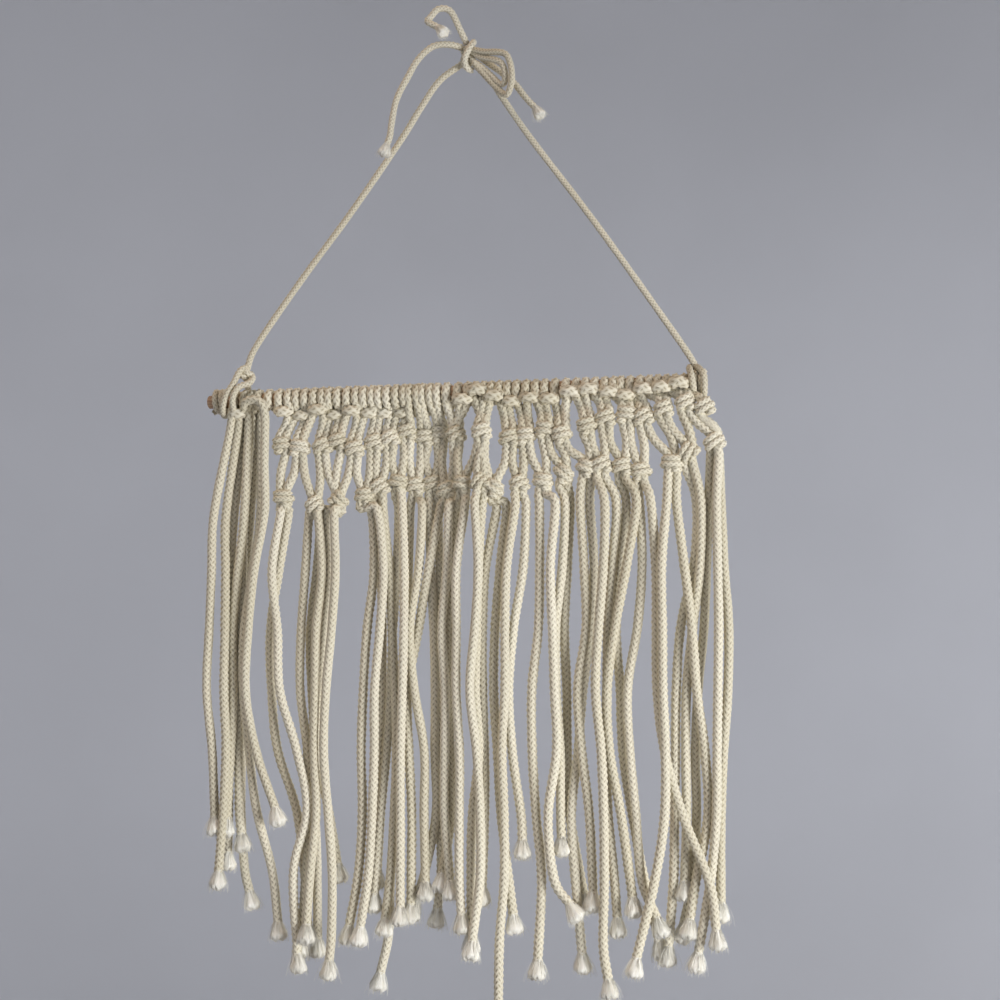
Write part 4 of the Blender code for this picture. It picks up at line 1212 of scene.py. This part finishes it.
class NetOperator(bpy.types.Operator):
    """Lay the cords of the net and tie its two rows of knots"""

    bl_idname = "hanging.net"
    bl_label = "Net and Knots"

    def execute(self, context):
        sizes = context.scene.hanging_sizes
        finish = finish_named("braided_cotton", context.scene.hanging_colours)
        cords = Heap(SEEDS["net"])
        for below, (_, _, _, left, right) in enumerate(SECOND_ROW):
            net_cord(cords, left, below, -1, sizes)
            net_cord(cords, right, below, 1, sizes)
        for above, below, side in SPARE_NET_CORDS:
            net_cord(cords, above, below, side, sizes)
        cords.piece("net_cords", finish, "cotton_braid", "macrame")
        knots = Heap(SEEDS["knots"])
        for index in range(len(FIRST_ROW)):
            knot_wraps(knots, first_row_middle(index), FIRST_ROW_TILT, sizes)
        for index, (_, _, tilt, _, _) in enumerate(SECOND_ROW):
            knot_wraps(knots, second_row_middle(index), tilt, sizes)
        knots.piece("knots", finish, "cotton_braid", "macrame")
        return {"FINISHED"}


class FringeOperator(bpy.types.Operator):
    """Hang the cords of the fringe and open their ends"""

    bl_idname = "hanging.fringe"
    bl_label = "Fringe"

    def execute(self, context):
        sizes = context.scene.hanging_sizes
        colours = context.scene.hanging_colours
        finish = finish_named("braided_cotton", colours)
        fray = finish_named("loose_fibres", colours)
        diameter = sizes.cord_diameter / MM
        begin = 0
        for part, (name, node, count) in enumerate(STRAND_PIECES):
            heap = Heap(SEEDS["strands"] + part)
            ends = Heap(SEEDS["frayed"] + part)
            for n in range(begin, begin + count):
                necks = (n >= len(LOOSE), False)
                route = braided_cord(heap, strand_route(n), diameter, sizes, necks=necks)
                frayed_end(ends, route, diameter, sizes)
            heap.piece(name, finish, "cotton_braid", node)
            ends.piece("frayed_" + name, fray, "cotton_braid", node)
            begin += count
        return {"FINISHED"}


class HangingCordOperator(bpy.types.Operator):
    """Run the thin cord from the rod's two ends up to the tied knot"""

    bl_idname = "hanging.hanging_cord"
    bl_label = "Hanging Cord"

    def execute(self, context):
        sizes = context.scene.hanging_sizes
        thin = sizes.thin_cord_diameter / MM
        finish = finish_named("thin_braided_cotton", context.scene.hanging_colours)
        left = Heap(SEEDS["hanging_left"])
        for route in (LEFT_LEG, list(LEFT_LOOP) + rod_winding(*LEFT_WINDING, thin), LEFT_RETURN):
            braided_cord(left, route, thin, sizes)
        small_knot(left, LEFT_KNOT, LEFT_KNOT_TILT, thin, sizes)
        left.piece("hanging_cord_left", finish, "cotton_hanger", "hanger_left")
        right = Heap(SEEDS["hanging_right"])
        for route in (RIGHT_LEG, RIGHT_LOOP, rod_winding(*RIGHT_WINDING, thin)):
            braided_cord(right, route, thin, sizes)
        right.piece("hanging_cord_right", finish, "cotton_hanger", "hanger_right")
        return {"FINISHED"}


class TieOperator(bpy.types.Operator):
    """Tie the knot at the top, with its loop, its curl and its two tails"""

    bl_idname = "hanging.tie"
    bl_label = "Tie"

    def execute(self, context):
        sizes = context.scene.hanging_sizes
        colours = context.scene.hanging_colours
        thin = sizes.thin_cord_diameter / MM
        finish = finish_named("thin_braided_cotton", colours)
        fray = finish_named("loose_fibres", colours)
        ends = Heap(SEEDS["tie_ends"])
        for number, (name, route, node) in enumerate(TIE_TAILS):
            heap = Heap(SEEDS["tails"] + number)
            frayed_end(ends, braided_cord(heap, route, thin, sizes), thin, sizes)
            heap.piece(name, finish, "cotton_hanger", node)
        bow = Heap(SEEDS["bow"])
        for route in (BOW_LOOP, SECOND_BOW_LOOP):
            braided_cord(bow, route, thin, sizes)
        bow.piece("tie_bow", finish, "cotton_hanger", "tie_loop")
        knot = Heap(SEEDS["tie"])
        for middle, tilt in TIE_KNOTS:
            small_knot(knot, middle, tilt, thin, sizes)
        braided_cord(knot, TIE_CROSSING, thin, sizes)
        knot.piece("tie_wraps", finish, "cotton_hanger", "tie_knot")
        ends.piece("tie_ends", fray, "cotton_hanger", "tie_tail_left", "tie_tail_right", "tie_curl")
        return {"FINISHED"}


class RodOperator(bpy.types.Operator):
    """Give the rod its wood"""

    bl_idname = "hanging.rod"
    bl_label = "Rod"

    def execute(self, context):
        finish = wood_material(context.scene.hanging_colours)
        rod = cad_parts["rod"]
        if not rod.material_slots:
            rod.data.materials.append(finish)
        for place in rod.material_slots:
            place.material = finish
        return {"FINISHED"}


def backdrop_profile():
    """Radius and height of the round backdrop, from the middle part of the floor up to its rim."""
    profile = [(radius, FLOOR_Z) for radius in FLOOR_RADII]
    for k in range(1, COVE_STEPS + 1):
        turn = math.pi / 2 * k / COVE_STEPS
        radius = FLOOR_RADII[-1] + COVE_RADIUS * math.sin(turn)
        profile.append((radius, FLOOR_Z + COVE_RADIUS * (1 - math.cos(turn))))
    return profile + [(WALL_RADIUS, height) for height in WALL_HEIGHTS]


def make_backdrop(finish):
    """The floor and the wall that rises from it all round, in one smooth sheet."""
    mesh = bpy.data.meshes.new("backdrop")
    build = bmesh.new()
    rings = []
    for radius, height in backdrop_profile():
        ring = []
        for k in range(BACKDROP_SIDES):
            turn = 2 * math.pi * k / BACKDROP_SIDES
            ring.append(build.verts.new((radius * math.cos(turn), radius * math.sin(turn), height)))
        rings.append(ring)
    build.faces.new(rings[0])
    for low, high in zip(rings, rings[1:]):
        for k in range(BACKDROP_SIDES):
            after = (k + 1) % BACKDROP_SIDES
            build.faces.new((low[k], high[k], high[after], low[after]))
    build.to_mesh(mesh)
    build.free()
    mesh.shade_smooth()
    mesh.materials.append(finish)
    made = bpy.data.objects.new("backdrop", mesh)
    bpy.context.scene.collection.objects.link(made)


def soft_lamp(name, place, aim, size, power, colour, spread):
    """A square area lamp that faces a point."""
    lamp = bpy.data.lights.new(name, "AREA")
    lamp.size = size
    lamp.energy = power
    lamp.color = colour
    lamp.spread = spread
    made = bpy.data.objects.new(name, lamp)
    made.location = place
    ahead = Vector(aim) - Vector(place)
    made.rotation_euler = ahead.to_track_quat("-Z", "Y").to_euler()
    made.visible_camera = False
    bpy.context.scene.collection.objects.link(made)


def make_camera():
    """The camera, in front of the hanging, to its right and a little low."""
    yaw = math.radians(CAMERA_YAW)
    pitch = math.radians(CAMERA_PITCH)
    ahead = Vector((-math.sin(yaw) * math.cos(pitch), math.cos(yaw) * math.cos(pitch), math.sin(pitch)))
    lens = bpy.data.cameras.new("camera")
    lens.sensor_width = CAMERA_SENSOR
    lens.lens = CAMERA_LENS
    lens.clip_start, lens.clip_end = CAMERA_CLIP
    made = bpy.data.objects.new("camera", lens)
    made.location = CAMERA_PLACE
    made.rotation_euler = ahead.to_track_quat("-Z", "Y").to_euler()
    bpy.context.scene.collection.objects.link(made)
    bpy.context.scene.camera = made


class StageOperator(bpy.types.Operator):
    """Set the floor, the backdrop, the lamps and the camera"""

    bl_idname = "hanging.stage"
    bl_label = "Stage"

    def execute(self, context):
        settings = context.scene.hanging_stage
        make_backdrop(backdrop_material(tuple(context.scene.hanging_colours.backdrop)))
        for name, place, aim, size, power, colour, spread in LAMPS:
            soft_lamp(name, place, aim, size, getattr(settings, power), colour, spread)
        world = bpy.data.worlds.new("sky")
        world.use_nodes = True
        light = world.node_tree.nodes["Background"]
        light.inputs["Color"].default_value = SKY_COLOUR
        light.inputs["Strength"].default_value = settings.sky
        context.scene.world = world
        context.scene.view_settings.view_transform = "Standard"
        make_camera()
        return {"FINISHED"}


class HangingPanel(bpy.types.Panel):
    """The hanging's sizes and colours, and a button for each of its pieces"""

    bl_idname = "VIEW3D_PT_macrame_hanging"
    bl_label = "Macrame Wall Hanging"
    bl_space_type = "VIEW_3D"
    bl_region_type = "UI"
    bl_category = "Macrame"

    def draw(self, context):
        layout = self.layout
        for name, group in GROUPS:
            box = layout.box()
            for setting in group.__annotations__:
                box.prop(getattr(context.scene, name), setting)
        for operator in OPERATORS:
            layout.operator(operator.bl_idname)


OPERATORS = (
    StageOperator, RodOperator, LarksHeadsOperator, NetOperator, FringeOperator, HangingCordOperator,
    TieOperator,
)
GROUPS = (
    ("hanging_sizes", HangingSizes),
    ("hanging_colours", HangingColours),
    ("hanging_stage", HangingStage),
)


def register():
    """Registers the settings, the operators and the panel."""
    for name, group in GROUPS:
        bpy.utils.register_class(group)
        setattr(bpy.types.Scene, name, bpy.props.PointerProperty(type=group))
    for operator in OPERATORS:
        bpy.utils.register_class(operator)
    bpy.utils.register_class(HangingPanel)


def unregister():
    """Takes the settings, the operators and the panel away again."""
    bpy.utils.unregister_class(HangingPanel)
    for operator in reversed(OPERATORS):
        bpy.utils.unregister_class(operator)
    for name, group in GROUPS:
        delattr(bpy.types.Scene, name)
        bpy.utils.unregister_class(group)


def main():
    """Builds the whole hanging and its stage."""
    register()
    bpy.ops.hanging.stage()
    bpy.ops.hanging.rod()
    bpy.ops.hanging.larks_heads()
    bpy.ops.hanging.net()
    bpy.ops.hanging.fringe()
    bpy.ops.hanging.hanging_cord()
    bpy.ops.hanging.tie()


if __name__ == "__main__":
    main()
